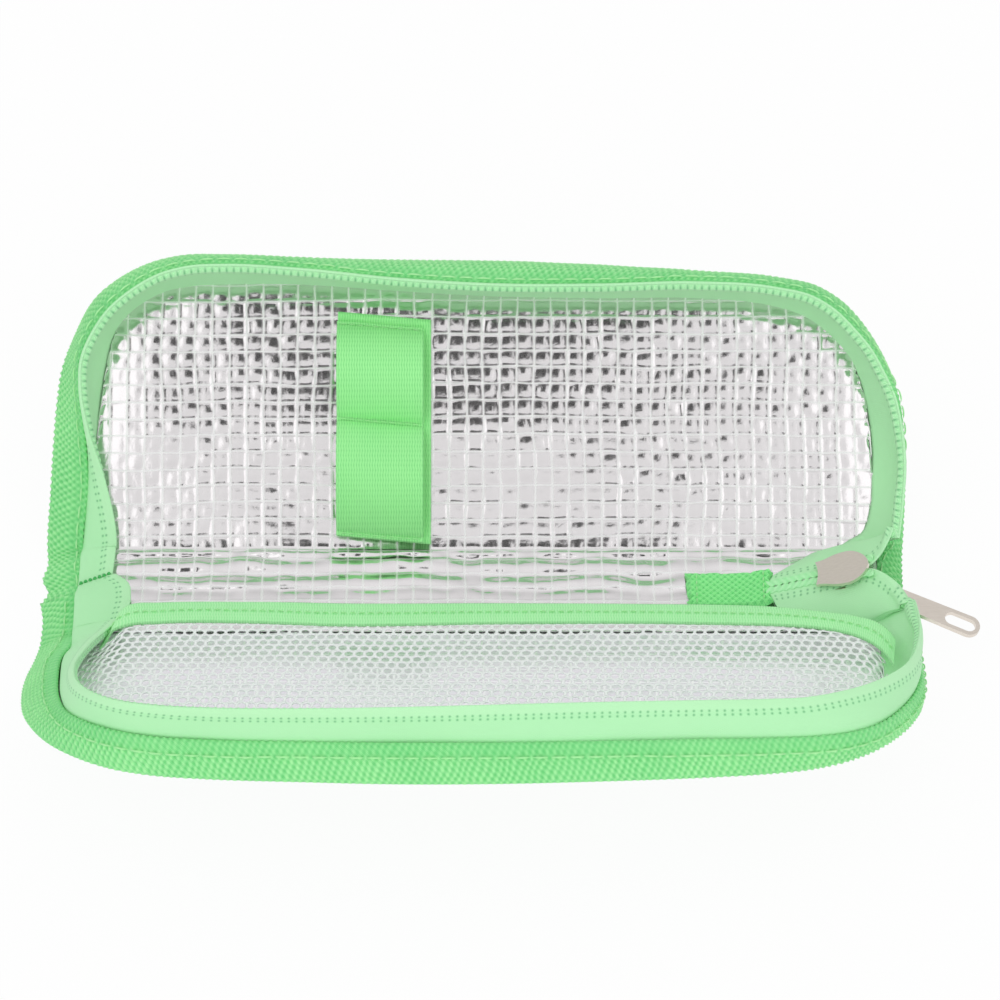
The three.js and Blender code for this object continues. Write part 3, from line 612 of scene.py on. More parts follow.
light("front_fill", (0.1, -1.25, 0.4), 0.9, 3.6)
make_card("dark_card", (-0.01, -0.12, 0.90), (0.17, 0.25), 0.02)
make_card("left_card", (-0.40, -0.28, 0.95), (0.40, 0.5), 1.2)
make_card("right_card", (0.42, -0.28, 0.95), (0.40, 0.5), 1.2)
print("camera, white room, three lamps and three cards made")

# %% [markdown]
# Webbing and zip tape run round each half and on through the hinges at both ends of the spine. Each
# is a strip between rails. A rail passes smoothly through a few places that were read off the photo,
# because hand-sewn walls lean in at the hinges, stand at the corners and flare at the slider's end.

# %% Rails
HALF_MIDDLE = np.array([0.0, 25.0, 0.0])
DENSE_POINTS = 6000


def run_up(points):
    """Distance gone from the first point of each line of points (..., n, 3) to every one of them."""
    steps = np.linalg.norm(np.diff(points, axis=-2), axis=-1)
    return np.concatenate([np.zeros((*steps.shape[:-1], 1)), np.cumsum(steps, -1)], -1)


def values_at(at, length, field):
    """Values of a field (n, k), known at these lengths, at other places along them."""
    return np.stack([np.interp(at, length, column) for column in field.T], -1)


def spline(rows, spacing, rail):
    """Smooth rails through rows (n, k, 3) of places: cubic pieces whose slope at a row is that of its
    neighbours' chord. Gives the rails at an even spacing in mm along one of them, and the distances."""
    rows = np.array(rows, float)
    knots = run_up(rows.mean(1))
    slope = np.gradient(rows, knots, axis=0)
    dense = np.linspace(0, knots[-1], DENSE_POINTS)
    i = np.clip(np.searchsorted(knots, dense, side="right") - 1, 0, len(knots) - 2)
    gap = (knots[i + 1] - knots[i])[:, None, None]
    t = (dense - knots[i])[:, None, None] / gap
    curve = (rows[i] * (1 + 2 * t) * (1 - t) ** 2 + slope[i] * gap * t * (1 - t) ** 2
             + rows[i + 1] * t * t * (3 - 2 * t) - slope[i + 1] * gap * t * t * (1 - t))
    length = run_up(curve[:, rail])
    at = np.linspace(0, length[-1], round(length[-1] / spacing) + 1)
    even = values_at(at, length, curve.reshape(len(dense), -1))
    return even.reshape(len(at), -1, 3), at


def unit(vectors):
    """Vectors of length one."""
    return vectors / np.maximum(np.linalg.norm(vectors, axis=-1, keepdims=True), 1e-9)


def outward(rail, up=UP):
    """Unit normals square to a rail and to the wall's up direction. They point away from the half's
    middle."""
    normal = unit(np.cross(unit(np.gradient(rail, axis=0)), up))
    away = np.sum(normal[..., :2] * (rail - HALF_MIDDLE)[..., :2], -1).mean()
    return normal * np.sign(away)


def ring(first, second, turn):
    """Unit circle round every place (..., 3): cosines along its first direction, sines along its second."""
    return first[..., None, :] * np.cos(turn)[:, None] + second[..., None, :] * np.sin(turn)[:, None]


def bent(start, knee, end, share):
    """Points of a parabola that starts at start, passes by knee at half way and ends at end."""
    control = 2 * knee - (start + end) / 2
    first, last = (1 - share) ** 2, share * share
    return start[:, None] * first + control[:, None] * 2 * share * (1 - share) + end[:, None] * last


# Rows of the standing walls in mm: webbing foot, webbing top, zip edge, tape foot.
BACK_WALL = [
    ((-100.4, 2.5, 0.5), (-92.6, 2.5, 5.2), (-83.8, 3.3, 7.8), (-90.0, 2.5, 3.4)),
    ((-99.8, 17, 0.5), (-92.3, 17.3, 5.5), (-86.6, 17.7, 9.0), (-90.0, 17, 2.6)),
    ((-99.2, 29, 0.5), (-92.8, 29.3, 6.5), (-90.4, 29.3, 13.5), (-88.4, 29.5, 2.6)),
    ((-98.5, 38.4, 0.5), (-93.4, 38.6, 7.4), (-92.0, 38.6, 15.3), (-87.6, 39, 2.6)),
    ((-97.4, 45.9, 0.5), (-93.8, 46.2, 8.4), (-91.6, 45.3, 16.3), (-86.4, 46.4, 2.6)),
    ((-94.3, 53.8, 0.5), (-92.3, 53.5, 9.4), (-88.8, 51.8, 17.0), (-84.8, 52.8, 2.6)),
    ((-89.7, 60.4, 0.5), (-88.9, 60.1, 10.0), (-85.4, 56.8, 17.2), (-81.9, 57.6, 2.6)),
    ((-84.3, 65.0, 0.5), (-83.8, 64.7, 10.4), (-80.1, 61.4, 17.2), (-77.6, 61.2, 2.6)),
    ((-76.8, 69.0, 0.5), (-76.4, 68.7, 10.6), (-73.6, 65.2, 17.1), (-72.2, 63.8, 2.6)),
    ((-69.2, 70.9, 0.5), (-68.9, 70.6, 10.8), (-67.2, 67.0, 17.0), (-66.6, 64.9, 2.6)),
    ((-58.7, 71.3, 0.5), (-58.7, 70.8, 11.0), (-58.0, 67.5, 17.0), (-57.6, 65.4, 2.6)),
    ((-40.6, 70.7, 0.5), (-40.6, 70.1, 11.2), (-40.4, 66.5, 16.9), (-40.4, 65.4, 2.6)),
    ((-16.9, 70.1, 0.5), (-16.9, 69.4, 11.2), (-16.8, 64.1, 16.7), (-17.0, 63.9, 2.6)),
    ((6.8, 69.9, 0.5), (6.8, 69.1, 11.2), (6.7, 62.8, 16.6), (6.8, 62.7, 2.6)),
    ((30.4, 69.1, 0.5), (30.4, 68.2, 11.2), (30.2, 62.8, 16.6), (30.4, 62.2, 2.6)),
    ((54.1, 67.7, 0.5), (54.0, 66.9, 11.0), (53.3, 63.3, 16.8), (54.0, 62.0, 2.6)),
    ((73.1, 66.2, 0.5), (72.9, 65.4, 10.4), (71.6, 62.0, 17.0), (71.4, 60.2, 2.6)),
    ((82.8, 64.0, 0.5), (82.2, 63.3, 9.8), (80.3, 59.9, 17.0), (78.6, 57.8, 2.6)),
    ((88.4, 60.2, 0.5), (87.8, 59.6, 9.5), (85.7, 56.5, 17.0), (82.8, 55.0, 2.6)),
    ((92.7, 55.5, 0.5), (91.9, 55.1, 9.2), (89.7, 52.5, 16.8), (86.2, 51.8, 2.6)),
    ((96.7, 49.5, 0.5), (95.7, 49.2, 8.9), (93.9, 47.4, 16.5), (89.4, 48.0, 2.6)),
    ((99.2, 44.2, 0.5), (98.4, 43.6, 8.8), (96.9, 41.9, 16.2), (91.6, 43.4, 2.6)),
    ((101.0, 37.6, 0.5), (100.3, 37.4, 8.6), (99.2, 37.0, 15.8), (93.2, 37.6, 2.6)),
    ((101.9, 30.3, 0.5), (101.4, 30.2, 8.6), (100.8, 30.1, 15.4), (94.2, 30.8, 2.6)),
    ((102.4, 18.3, 0.5), (101.7, 18.2, 8.6), (101.6, 18.0, 15.3), (94.8, 19.1, 3.4)),
]
FRONT_WALL = [
    ((-101.9, 7, 0.5), (-94.0, 7, 5.3), (-83.6, 7.6, 10.2), (-90.4, 7, 4.4)),
    ((-102.9, 14, 0.5), (-95.6, 14, 5.8), (-86.0, 15.6, 11.4), (-90.8, 14, 4.4)),
    ((-103.4, 26, 0.5), (-95.8, 26.5, 6.4), (-88.8, 28, 13.2), (-91.0, 27, 4.4)),
    ((-101.6, 38, 0.5), (-94.6, 39.5, 7.0), (-90.2, 40, 14.6), (-90.2, 39, 4.4)),
    ((-95.8, 50, 0.5), (-91.6, 50.0, 7.8), (-88.2, 51.6, 16.0), (-86.8, 49, 4.4)),
    ((-88.4, 58, 0.5), (-86.5, 57.3, 8.5), (-83.2, 59.4, 16.8), (-82.4, 55.5, 4.4)),
    ((-80.0, 63.6, 0.5), (-79.4, 62.7, 8.8), (-77.0, 64.0, 17.3), (-76.6, 60.4, 4.4)),
    ((-71.8, 66.5, 0.5), (-71.7, 65.7, 8.9), (-69.4, 66.4, 17.5), (-69.6, 63.2, 4.4)),
    ((-59.5, 68.4, 0.5), (-59.4, 67.4, 8.9), (-58.6, 67.6, 17.5), (-58.6, 65.0, 4.4)),
    ((-38.2, 69.9, 0.5), (-38.1, 68.3, 8.9), (-38.0, 67.9, 17.5), (-38.0, 66.0, 4.4)),
    ((-16.0, 71.0, 0.5), (-16.0, 68.7, 8.9), (-16.0, 67.2, 17.5), (-16.0, 66.2, 4.4)),
    ((6.3, 70.8, 0.5), (6.3, 68.6, 8.9), (6.3, 65.9, 17.5), (6.3, 66.0, 4.4)),
    ((28.6, 69.6, 0.5), (28.6, 68.0, 8.9), (28.6, 64.6, 17.5), (28.6, 65.4, 4.4)),
    ((51.0, 67.8, 0.5), (51.0, 67.2, 8.9), (50.8, 63.4, 17.4), (51.0, 64.2, 4.4)),
    ((66.7, 65.8, 0.5), (66.9, 66.4, 8.7), (65.6, 62.4, 17.2), (66.0, 61.8, 4.4)),
    ((76.1, 63.6, 0.5), (77.0, 64.6, 8.2), (74.5, 61.0, 17.0), (74.0, 58.8, 4.4)),
    ((84.0, 59.8, 0.5), (86.0, 61.4, 7.8), (82.4, 57.6, 16.8), (81.4, 54.4, 4.4)),
    ((90.5, 54.6, 0.5), (92.6, 56.4, 7.6), (89.2, 52.8, 16.5), (87.2, 49.0, 4.4)),
    ((95.8, 48.0, 0.5), (97.6, 49.6, 7.7), (94.4, 47.2, 16.2), (91.2, 44.0, 4.4)),
    ((99.8, 41.0, 0.5), (101.0, 42.3, 7.9), (98.2, 41.4, 15.9), (93.0, 39.0, 4.4)),
    ((102.4, 34.0, 0.5), (103.0, 34.6, 8.1), (100.6, 35.0, 15.6), (94.0, 33.0, 4.4)),
    ((103.4, 26.0, 0.5), (103.4, 26.4, 8.2), (102.2, 27.0, 15.3), (94.6, 26.0, 4.4)),
    ((103.8, 15.0, 0.5), (103.3, 15.4, 8.2), (103.2, 17.0, 15.0), (94.8, 15.0, 5.2)),
]
# Rows where the webbing crosses the hinges: foot and top.
BACK_WEBBING_LEFT = [
    ((-101.4, -13.5, 0.4), (-92.4, -13.5, 5.2)), ((-99.8, -10.5, 0.4), (-92.0, -10.5, 4.9)),
    ((-101.2, -6.5, 0.4), (-92.8, -6.5, 5.3)), ((-100.2, -2, 0.4), (-92.4, -2, 5.1)),
]
BACK_WEBBING_RIGHT = [
    ((102.3, 12.3, 0.5), (101.2, 12.2, 8.2)), ((102.2, 7.5, 0.5), (100.4, 7.4, 7.2)),
    ((102.0, 2.5, 0.5), (98.8, 2.6, 5.6)), ((101.8, -3.0, 0.4), (96.6, -3.0, 3.8)),
    ((101.7, -8.0, 0.4), (95.8, -8.0, 3.2)), ((101.8, -13.5, 0.4), (95.8, -13.5, 3.0)),
]
FRONT_WEBBING_LEFT = [
    ((-101.4, -13.5, 0.4), (-92.4, -13.5, 5.2)), ((-100.7, -9, 0.4), (-92.5, -9, 5.1)),
    ((-100.8, -4, 0.4), (-92.6, -4, 5.2)), ((-101.2, 1, 0.5), (-92.9, 1, 5.2)),
]
FRONT_WEBBING_RIGHT = [
    ((103.8, 8, 0.5), (103.0, 8, 8.0)), ((103.4, 2, 0.5), (101.4, 2, 6.8)),
    ((102.6, -4, 0.4), (98.2, -4, 4.6)), ((102.0, -9, 0.4), (96.2, -9, 3.4)),
    ((101.8, -13.5, 0.4), (95.8, -13.5, 3.0)),
]
# Rows where the tape crosses the hinges and joins the zip's tail: foot, knee and zip edge.
BACK_TAPE_LEFT = [
    ((-89.4, -11.4, 4.6), (-91.8, -11.7, 5.3), (-84.6, -9.5, 6.1)),
    ((-89.6, -8.6, 4.6), (-91.6, -8.6, 5.4), (-84.3, -6.4, 6.5)),
    ((-89.8, -3.0, 4.6), (-91.4, -3.0, 5.6), (-84.0, -1.6, 7.2)),
]
FRONT_TAPE_LEFT = [
    ((-89.2, -14.8, 4.6), (-91.8, -15.2, 5.6), (-83.6, -17.6, 6.6)),
    ((-89.2, -12.6, 4.6), (-92.0, -12.6, 6.4), (-80.8, -14.6, 7.6)),
    ((-89.2, -9.0, 4.6), (-91.8, -9.0, 7.0), (-79.9, -10.0, 8.2)),
    ((-89.6, -3.6, 4.6), (-91.8, -4.0, 7.0), (-80.6, -4.2, 8.8)),
    ((-90.2, 1.4, 4.6), (-92.0, 1.5, 6.6), (-81.6, 1.4, 9.4)),
]
BACK_TAPE_RIGHT = [
    ((94.6, 13.0, 4.6), (99.0, 13.0, 9.4), (101.2, 12.6, 15.1)),
    ((94.0, 9.6, 4.6), (98.3, 9.2, 9.8), (100.6, 6.8, 15.1)),
    ((93.2, 7.0, 4.6), (97.4, 5.2, 10.4), (99.6, 0.8, 15.6)),
    ((92.0, 5.4, 4.6), (96.0, 0.6, 11.0), (97.6, -6.0, 16.2)),
    ((90.4, 4.4, 4.7), (93.4, -2.6, 11.4), (95.2, -10.8, 16.0)),
    ((88.4, 3.2, 4.8), (90.6, -4.6, 11.4), (93.0, -12.95, 15.4)),
    ((84.5, 0.4, 5.3), (86.0, -6.2, 10.6), (87.0, -12.95, 13.3)),
    ((79.8, -3.2, 5.9), (80.8, -8.0, 9.8), (81.0, -12.95, 11.15)),
    ((75.0, -6.9, 6.4), (75.2, -9.9, 8.4), (75.2, -12.95, 9.05)),
    ((71.0, -10.0, 6.8), (70.2, -11.4, 7.1), (69.4, -12.95, 7.0)),
]
FRONT_TAPE_RIGHT = [
    ((94.9, 9.0, 6.0), (99.4, 9.6, 9.8), (103.2, 9.0, 14.7)),
    ((95.0, 4.0, 7.2), (98.4, 4.0, 10.6), (102.8, 2.0, 14.4)),
    ((94.4, 0.8, 8.4), (97.6, -1.2, 11.8), (101.4, -4.4, 14.6)),
    ((93.0, -1.4, 9.0), (96.0, -4.6, 12.8), (98.8, -8.4, 15.3)),
    ((91.0, -2.4, 9.2), (93.8, -7.2, 13.2), (95.4, -11.2, 15.7)),
    ((88.2, -2.8, 8.9), (91.0, -7.8, 12.6), (92.8, -12.55, 15.3)),
    ((84.0, -3.2, 8.4), (86.0, -8.2, 11.4), (87.0, -12.55, 13.3)),
    ((79.6, -4.0, 7.8), (80.8, -8.8, 10.2), (81.0, -12.55, 11.15)),
    ((75.2, -5.2, 7.2), (75.4, -9.4, 8.6), (75.2, -12.55, 9.05)),
    ((71.6, -7.6, 6.8), (70.4, -10.2, 7.1), (69.4, -12.55, 7.0)),
]
print("rails:", len(BACK_WALL) + len(FRONT_WALL), "rows of walls")

# %% [markdown]
# The webbing is a coarse flat band, sewn on so that its outer face bulges. Its weave shows as oblique
# rows of beads, each a thread that comes up and dives again. The beads are real relief here, because
# they break the outline and the light. They come from the product of two cosines.

# %% Webbing round both halves
BEAD_ALONG = 1.6
BEAD_ACROSS = 2.4
BEAD_SLANT = 0.35
BEAD_HEIGHT = 0.7
WEBBING_THICK = 1.6
WEBBING_STEP = 0.27
WEBBING_BULGE = 0.45
CRIMP_AND_SHADE_FROM, CRIMP_AND_SHADE_TO = 3.4, 1.6
CRIMP_AND_SHADE_SHARE = 0.35
BEAD_MEAN = 0.55
OVERHANG = 1.1
EDGE_DROP = 0.5
FLOOR_GAP = 0.05
OUTER_POINTS = 44
ROUND_POINTS = 6
INNER_POINTS = 8


def beads(along, across):
    """Height from 0 to 1 of woven beads: the product of a cosine along and one across, in rows that
    slant and are shifted a little by noise. A power just over 1 narrows the beads."""
    along = along + BEAD_SLANT * across + 0.6 * wander(along, across, 3.1, 31)
    across = across + 0.6 * wander(along, across, 2.7, 32)
    product = np.cos(2 * np.pi * along / BEAD_ALONG) * np.cos(2 * np.pi * across / BEAD_ACROSS)
    return (0.5 + 0.5 * product) ** 1.1


def webbing_rows(left, wall, right, cover):
    """Foot, knee and top of every row. Where cover is 1 the webbing leans in over the knee and ends just
    below the zip's edge, and where it is 0 it ends at the wall's own top."""
    wall = np.array(wall, float)
    foot, top, edge = wall[:, 0], wall[:, 1], wall[:, 2]
    share = np.interp(np.arange(len(wall)), *cover)[:, None]
    knee = (foot + top) / 2 * (1 - share) + top * share
    over = edge + outward(edge) * OVERHANG - UP * EDGE_DROP
    walls = np.stack([foot, knee, top * (1 - share) + over * share], 1)
    ends = [np.array([(low, (np.array(low) + np.array(high)) / 2, high) for low, high in rows])
            for rows in (left, right)]
    return np.concatenate([ends[0], walls, ends[1]])


def webbing_strip(name, rows, side, body, nodes):
    """A closed band: an outer face that bends from foot over knee to top and bulges by a sine, a round
    top edge, and an inner face at an even distance behind. Near the top its weave is crimped flatter
    and painted darker, as painted shade below the zip tape's edge. Gives the outer face, its normals
    and the distance gone on it from the foot."""
    rails, length = spline(rows, WEBBING_STEP, 1)
    foot, knee, top = rails[:, 0], rails[:, 1], rails[:, 2]
    share = np.linspace(0, 1, OUTER_POINTS)[:, None]
    outer = bent(foot, knee, top, share)
    climb = unit(np.gradient(outer, axis=1))
    run = unit(np.gradient(top, axis=0))[:, None]
    out = unit(np.cross(run, climb))
    out = out * np.sign(np.sum(out[:, 0] * outward(foot), -1).mean())
    outer = outer + out * (WEBBING_BULGE * np.sin(np.pi * share) ** 0.8)
    gone = run_up(outer)
    turn = np.linspace(0, np.pi, ROUND_POINTS + 2)[1:-1]
    radius = WEBBING_THICK / 2
    round_top = ring(out[:, -1], climb[:, -1], turn)
    rounded = (outer[:, -1] - out[:, -1] * radius)[:, None] + round_top * radius
    pick = np.linspace(OUTER_POINTS - 1, 0, INNER_POINTS).astype(int)
    inner = outer[:, pick] - out[:, pick] * WEBBING_THICK
    section = np.concatenate([outer, rounded, inner], 1)
    full = gone[:, -1:]
    across = np.concatenate([gone, full + radius * turn, 2 * full - gone[:, pick] + radius * np.pi], 1)
    along = length[:, None]
    relief = beads(along, across)
    # Lowered relief near the top: flatter beads, and painted shade below the tape's edge.
    crimp_and_shade = smooth(across, full - CRIMP_AND_SHADE_FROM, full - CRIMP_AND_SHADE_TO)
    relief = relief * (1 - CRIMP_AND_SHADE_SHARE * crimp_and_shade) * (0.8 + 0.2 * value_noise(along, across, 9.0, 33))
    facing = np.concatenate([out, unit(round_top), -out[:, pick]], 1)
    section = section + facing * (BEAD_HEIGHT * (relief - BEAD_MEAN))[..., None]
    section[..., 2] = np.maximum(section[..., 2], FLOOR_GAP)
    piece = tube(name, fold(section, side), WEBBING, cloth_place(along, across), relief, flip=side > 0)
    finish(piece, body, nodes)
    return outer, out, gone


BACK = ("back_half", 1)
FRONT = ("front_half", -1)
# At which row of a wall the webbing covers the tape's outer side, and how much.
BACK_COVER = ([0, 3, 6, 22, 24], [0.0, 0.5, 1.0, 1.0, 0.0])
FRONT_COVER = ([0, 22], [0.0, 0.0])
back_rows = webbing_rows(BACK_WEBBING_LEFT, BACK_WALL, BACK_WEBBING_RIGHT, BACK_COVER)
front_rows = webbing_rows(FRONT_WEBBING_LEFT, FRONT_WALL, FRONT_WEBBING_RIGHT, FRONT_COVER)
back_face = webbing_strip("back_webbing_band", back_rows, 1, BACK, ("back_webbing", "right_hinge_webbing"))
front_face = webbing_strip("front_webbing_band", front_rows, -1, FRONT,
                           ("front_webbing", "left_hinge_webbing"))

# %% [markdown]
# A row of light stitches runs along the webbing and holds it to the tape behind. Each stitch is a
# short thread that rises from one needle hole and dips into the next.

# %% Running stitches
STITCH_RINGS = 7
STITCH_SIDES = 6


def dashes(name, path, normal, side, pitch, length, radius, material, body, first=2.0):
    """Short tapered tubes along a path (n, 3): rings round the path whose radius swells by the root of a
    sine, and whose middle is lifted by the same root along the normal. side 0 means that the path is in
    the room already. Stitches start at first, a pitch apart."""
    normal = np.broadcast_to(normal, path.shape)
    at = run_up(path)
    starts = np.arange(first, at[-1] - length, pitch)
    share = np.linspace(0, 1, STITCH_RINGS)
    place = starts[:, None] + length * share
    centre = values_at(place, at, path)
    face = unit(values_at(place, at, normal))
    along = unit(np.gradient(centre, axis=1))
    beside = unit(np.cross(along, face))
    arc = np.sin(np.pi * share) ** 0.5
    turn = np.arange(STITCH_SIDES) * 2 * np.pi / STITCH_SIDES
    centre = centre + face * (radius * 1.3 * arc)[:, None]
    points = centre[:, :, None] + ring(face, beside, turn) * (radius * (0.3 + 0.7 * arc))[:, None, None]
    count, rings, sides = points.shape[:3]
    one = grid_faces(rings, sides, wrap=True)
    quads = (one[None] + (np.arange(count) * rings * sides)[:, None, None]).reshape(-1, 4).tolist()
    for k in range(count):
        start = k * rings * sides
        quads.append([start + i for i in range(sides)][::-1])
        quads.append([start + (rings - 1) * sides + i for i in range(sides)])
    world = fold(points, side) if side else points * MM
    cloth = cloth_place(place[..., None], turn)
    piece = add_mesh(name, world, quads, material, cloth, np.ones(points.shape[:3]))
    return finish(piece, body)


def webbing_stitches(name, face, drop, side, body):
    """Stitches that run a set drop below the webbing's top, on its outer face."""
    outer, out, gone = face
    low = np.argmin(np.abs(gone - (gone[:, -1:] - drop)), axis=1)
    row = np.arange(len(outer))
    path = outer[row, low]
    for _ in range(12):
        path[1:-1] = (path[:-2] + 2 * path[1:-1] + path[2:]) / 4
    path = path + out[row, low] * 0.15
    dashes(name, path, out[row, low], side, 4.1, 3.3, 0.2, THREAD, body)


webbing_stitches("back_topstitch", back_face, 0.35, 1, BACK)
webbing_stitches("front_topstitch", front_face, 2.7, -1, FRONT)

# %% [markdown]
# The zip tape is a thin twilled band that stands inside the webbing. Its free edge is rolled over the
# coil, so the outside is smooth and shows only two rows of small stitch holes. The section is a bent
# curve from foot over knee to edge, thickened by a bead on its inner side where the coil lies.

# %% Zip tapes
TAPE_THICK = 0.6
TAPE_STEP = 0.45
ACROSS_POINTS = 26
COIL_REACH = 2.7
COIL_BULGE = 1.25
OUTER_BULGE = 0.18
KNEE_INSET = 1.75
CROWDING = 1.45
RIPPLE = 0.16
RIPPLE_LENGTH = 9.0
TAIL_ROWS = 62
FADE_ROWS = 24


def tape_rows(left, wall, right, cover):
    """Foot, knee and edge of every row. On the walls the knee lies just inside the webbing's top, or
    near the middle of the tape where the webbing covers it and the tape hangs straight."""
    wall = np.array(wall, float)
    top = wall[:, 1]
    out = outward(top)
    share = np.interp(np.arange(len(wall)), *cover)[:, None]
    straight = (wall[:, 2] + wall[:, 3]) / 2 + out * 0.7
    knee = (top - out * KNEE_INSET) * (1 - share) + straight * share
    middle = np.stack([wall[:, 3], knee, wall[:, 2]], 1)
    return np.concatenate([np.array(left, float), middle, np.array(right, float)])


def tape_strip(name, rows, side, body, nodes):
    """A closed band round a parabola with foot, knee and edge on it, whose points crowd towards the
    edge. The inner face swells over the coil, and the swelling fades to nothing before the tail's rows,
    where the zip runs through the slider. Gives what the coil needs to follow the edge."""
    rails, length = spline(rows, TAPE_STEP, 2)
    foot, knee, edge = rails[:, 0], rails[:, 1], rails[:, 2]
    share = (1 - (1 - np.linspace(0, 1, ACROSS_POINTS)) ** CROWDING)[:, None]
    curve = bent(foot, knee, edge, share)
    climb = unit(np.gradient(curve, axis=1))
    run = unit(np.gradient(edge, axis=0))[:, None]
    normal = unit(np.cross(run, climb))
    away = np.sum(normal[:, ACROSS_POINTS // 2] * outward(edge, climb[:, ACROSS_POINTS // 2]), -1)
    normal = normal * np.sign(away.mean())
    gone = run_up(curve)
    left = gone[:, -1:] - gone
    tail = len(edge) - TAIL_ROWS
    coil_share = 1 - smooth(np.arange(len(edge)), tail - FADE_ROWS, tail)
    bead = smooth(left, 0, 0.8) * (1 - smooth(left, COIL_REACH - 0.5, COIL_REACH + 0.5))
    bead = bead * coil_share[:, None]
    ripple = RIPPLE * np.sin(length / RIPPLE_LENGTH)[:, None]
    ripple = ripple * smooth(left, 2.5, 6.0) * smooth(gone, 1.0, 5.0)
    outer = curve + normal * (TAPE_THICK / 2 + OUTER_BULGE * bead + ripple)[..., None]
    inner = curve - normal * (TAPE_THICK / 2 + COIL_BULGE * bead - ripple)[..., None]
    turn = np.linspace(0, np.pi, 6)[1:-1]
    tip = edge[:, None] + ring(normal[:, -1], climb[:, -1], turn) * (TAPE_THICK / 2)
    section = np.concatenate([outer, tip, inner[:, ::-1]], 1)
    inner_row = np.where(coil_share[:, None] > 0.5, STITCH_ROWS[0] + (left - 0.55) * 0.81, left)
    across = np.concatenate([left, np.zeros(tip.shape[:2]), inner_row[:, ::-1]], 1)
    # Painted highlight: the outer face is painted lighter on its rolled edge, and the inner face over the
    # coil's swelling.
    rolled_highlight = 1 - smooth(left, 1.6, 2.4)
    light = np.concatenate([0.55 + 0.45 * rolled_highlight, np.ones(tip.shape[:2]), (0.8 + 0.2 * bead)[:, ::-1]], 1)
    cloth = cloth_place(length[:, None], across)
    piece = tube(name, fold(section, side), TAPE, cloth, light, flip=side > 0)
    finish(piece, body, nodes)
    return edge, normal, climb, length, coil_share


back_rows = tape_rows(BACK_TAPE_LEFT, BACK_WALL, BACK_TAPE_RIGHT, BACK_COVER)
front_rows = tape_rows(FRONT_TAPE_LEFT, FRONT_WALL, FRONT_TAPE_RIGHT, FRONT_COVER)
back_edge = tape_strip("back_tape_band", back_rows, 1, BACK, ("back_zip_tape", "back_tail_tape"))
front_edge = tape_strip("front_tape_band", front_rows, -1, FRONT, ("front_zip_tape", "front_tail_tape"))

# %% [markdown]
# Under the rolled edge lies the zip's coil: one nylon thread wound to a flat spring, sewn to the tape.
# It is wound here as one helix that is half sunk in the tape's inner side, so its turns show as a row
# of teeth. A turn keeps to a few dozen faces, as there are hundreds.

# %% Zip coils
COIL_PITCH = 1.7
COIL_STEPS = 12
COIL_SIDES = 6
COIL_THREAD = 0.34
COIL_START = 2.0
COIL_BELOW_EDGE = 1.35
COIL_INSIDE = 0.74
COIL_HALF_WIDTH = 0.97
COIL_HALF_DEPTH = 0.45


def coil_turns(name, strip, side, body, nodes):
    """A tube on a flattened helix: its centre runs below the edge and inside it, a cosine of the phase
    moves it up and down and a sine in and out, and the phase grows with length."""
    edge, normal, climb, length, coil_share = strip
    end = length[coil_share > 0.97][-1]
    at = np.arange(COIL_START, end, COIL_PITCH / COIL_STEPS)
    line = values_at(at, length, edge)
    face = unit(values_at(at, length, normal[:, -1]))
    rise = unit(values_at(at, length, climb[:, -1]))
    phase = (2 * np.pi * at / COIL_PITCH)[:, None]
    centre = line - rise * COIL_BELOW_EDGE - face * COIL_INSIDE
    helix = centre + rise * (COIL_HALF_WIDTH * np.cos(phase)) + face * (COIL_HALF_DEPTH * np.sin(phase))
    along = unit(np.gradient(helix, axis=0))
    first = unit(np.cross(along, unit(np.gradient(line, axis=0))))
    second = np.cross(along, first)
    turn = np.arange(COIL_SIDES) * 2 * np.pi / COIL_SIDES
    points = helix[:, None] + ring(first, second, turn) * COIL_THREAD
    cloth = cloth_place(at[:, None], turn)
    piece = tube(name, fold(points, side), COIL, cloth, np.ones(points.shape[:2]), flip=side < 0)
    finish(piece, body, nodes)


coil_turns("back_coil_turns", back_edge, 1, BACK, ("back_zip_coil",))
coil_turns("front_coil_turns", front_edge, -1, FRONT, ("front_zip_coil",))

# %% [markdown]
# The lining is one film that runs over a half and the spine. Its grid follows the scrim: each cell has
# its samples crowded beside the threads, where the film bends most. Smooth value noise, made from a
# table of seeded random numbers, shifts the threads a little and crumples the cells.

# %% Quilted lining
CELL_ALONG = 4.0
CELL_ACROSS = 4.05
LINE_X = -1.26
LINE_V = 57.55
CELL_SHARES = np.array([0, 0.09, 0.22, 0.41, 0.6, 0.78, 0.91])
COARSE_SHARES = np.array([0, 0.12, 0.35, 0.65, 0.88])
PILLOW_EDGE = 2.3
PILLOW_RISE = 0.20
PILLOW_TILT = 0.15
RIDGE_RISE = 0.16
RIDGE_ALONG = 0.38
RIDGE_ACROSS = 0.33
RIM_DIP = 0.3
RIM_WIDTH = 8.0
SAG = 0.8
WRINKLE_PITCH = 5.2
FILM_UNDER_TRAY = 0.25
FILM_THICK = 0.25
TAPE_FOOT = 3
PAST_FOOT = 0.9


def rail_reach(rows, rail, x):
    """How far across the cut a rail lies at x, along its far side."""
    rail = np.array([row[rail] for row in rows], float)
    first, last = rail[:, 0].argmin(), rail[:, 0].argmax()
    return np.interp(x, rail[first:last + 1, 0], rail[first:last + 1, 1])


def cell_samples(low, high, line, pitch, shares):
    """Places counted in cells from a scrim line, at set shares of each cell between low and high."""
    cells = np.arange(np.floor((low - line) / pitch), np.ceil((high - line) / pitch))
    return (cells[:, None] + shares).ravel()


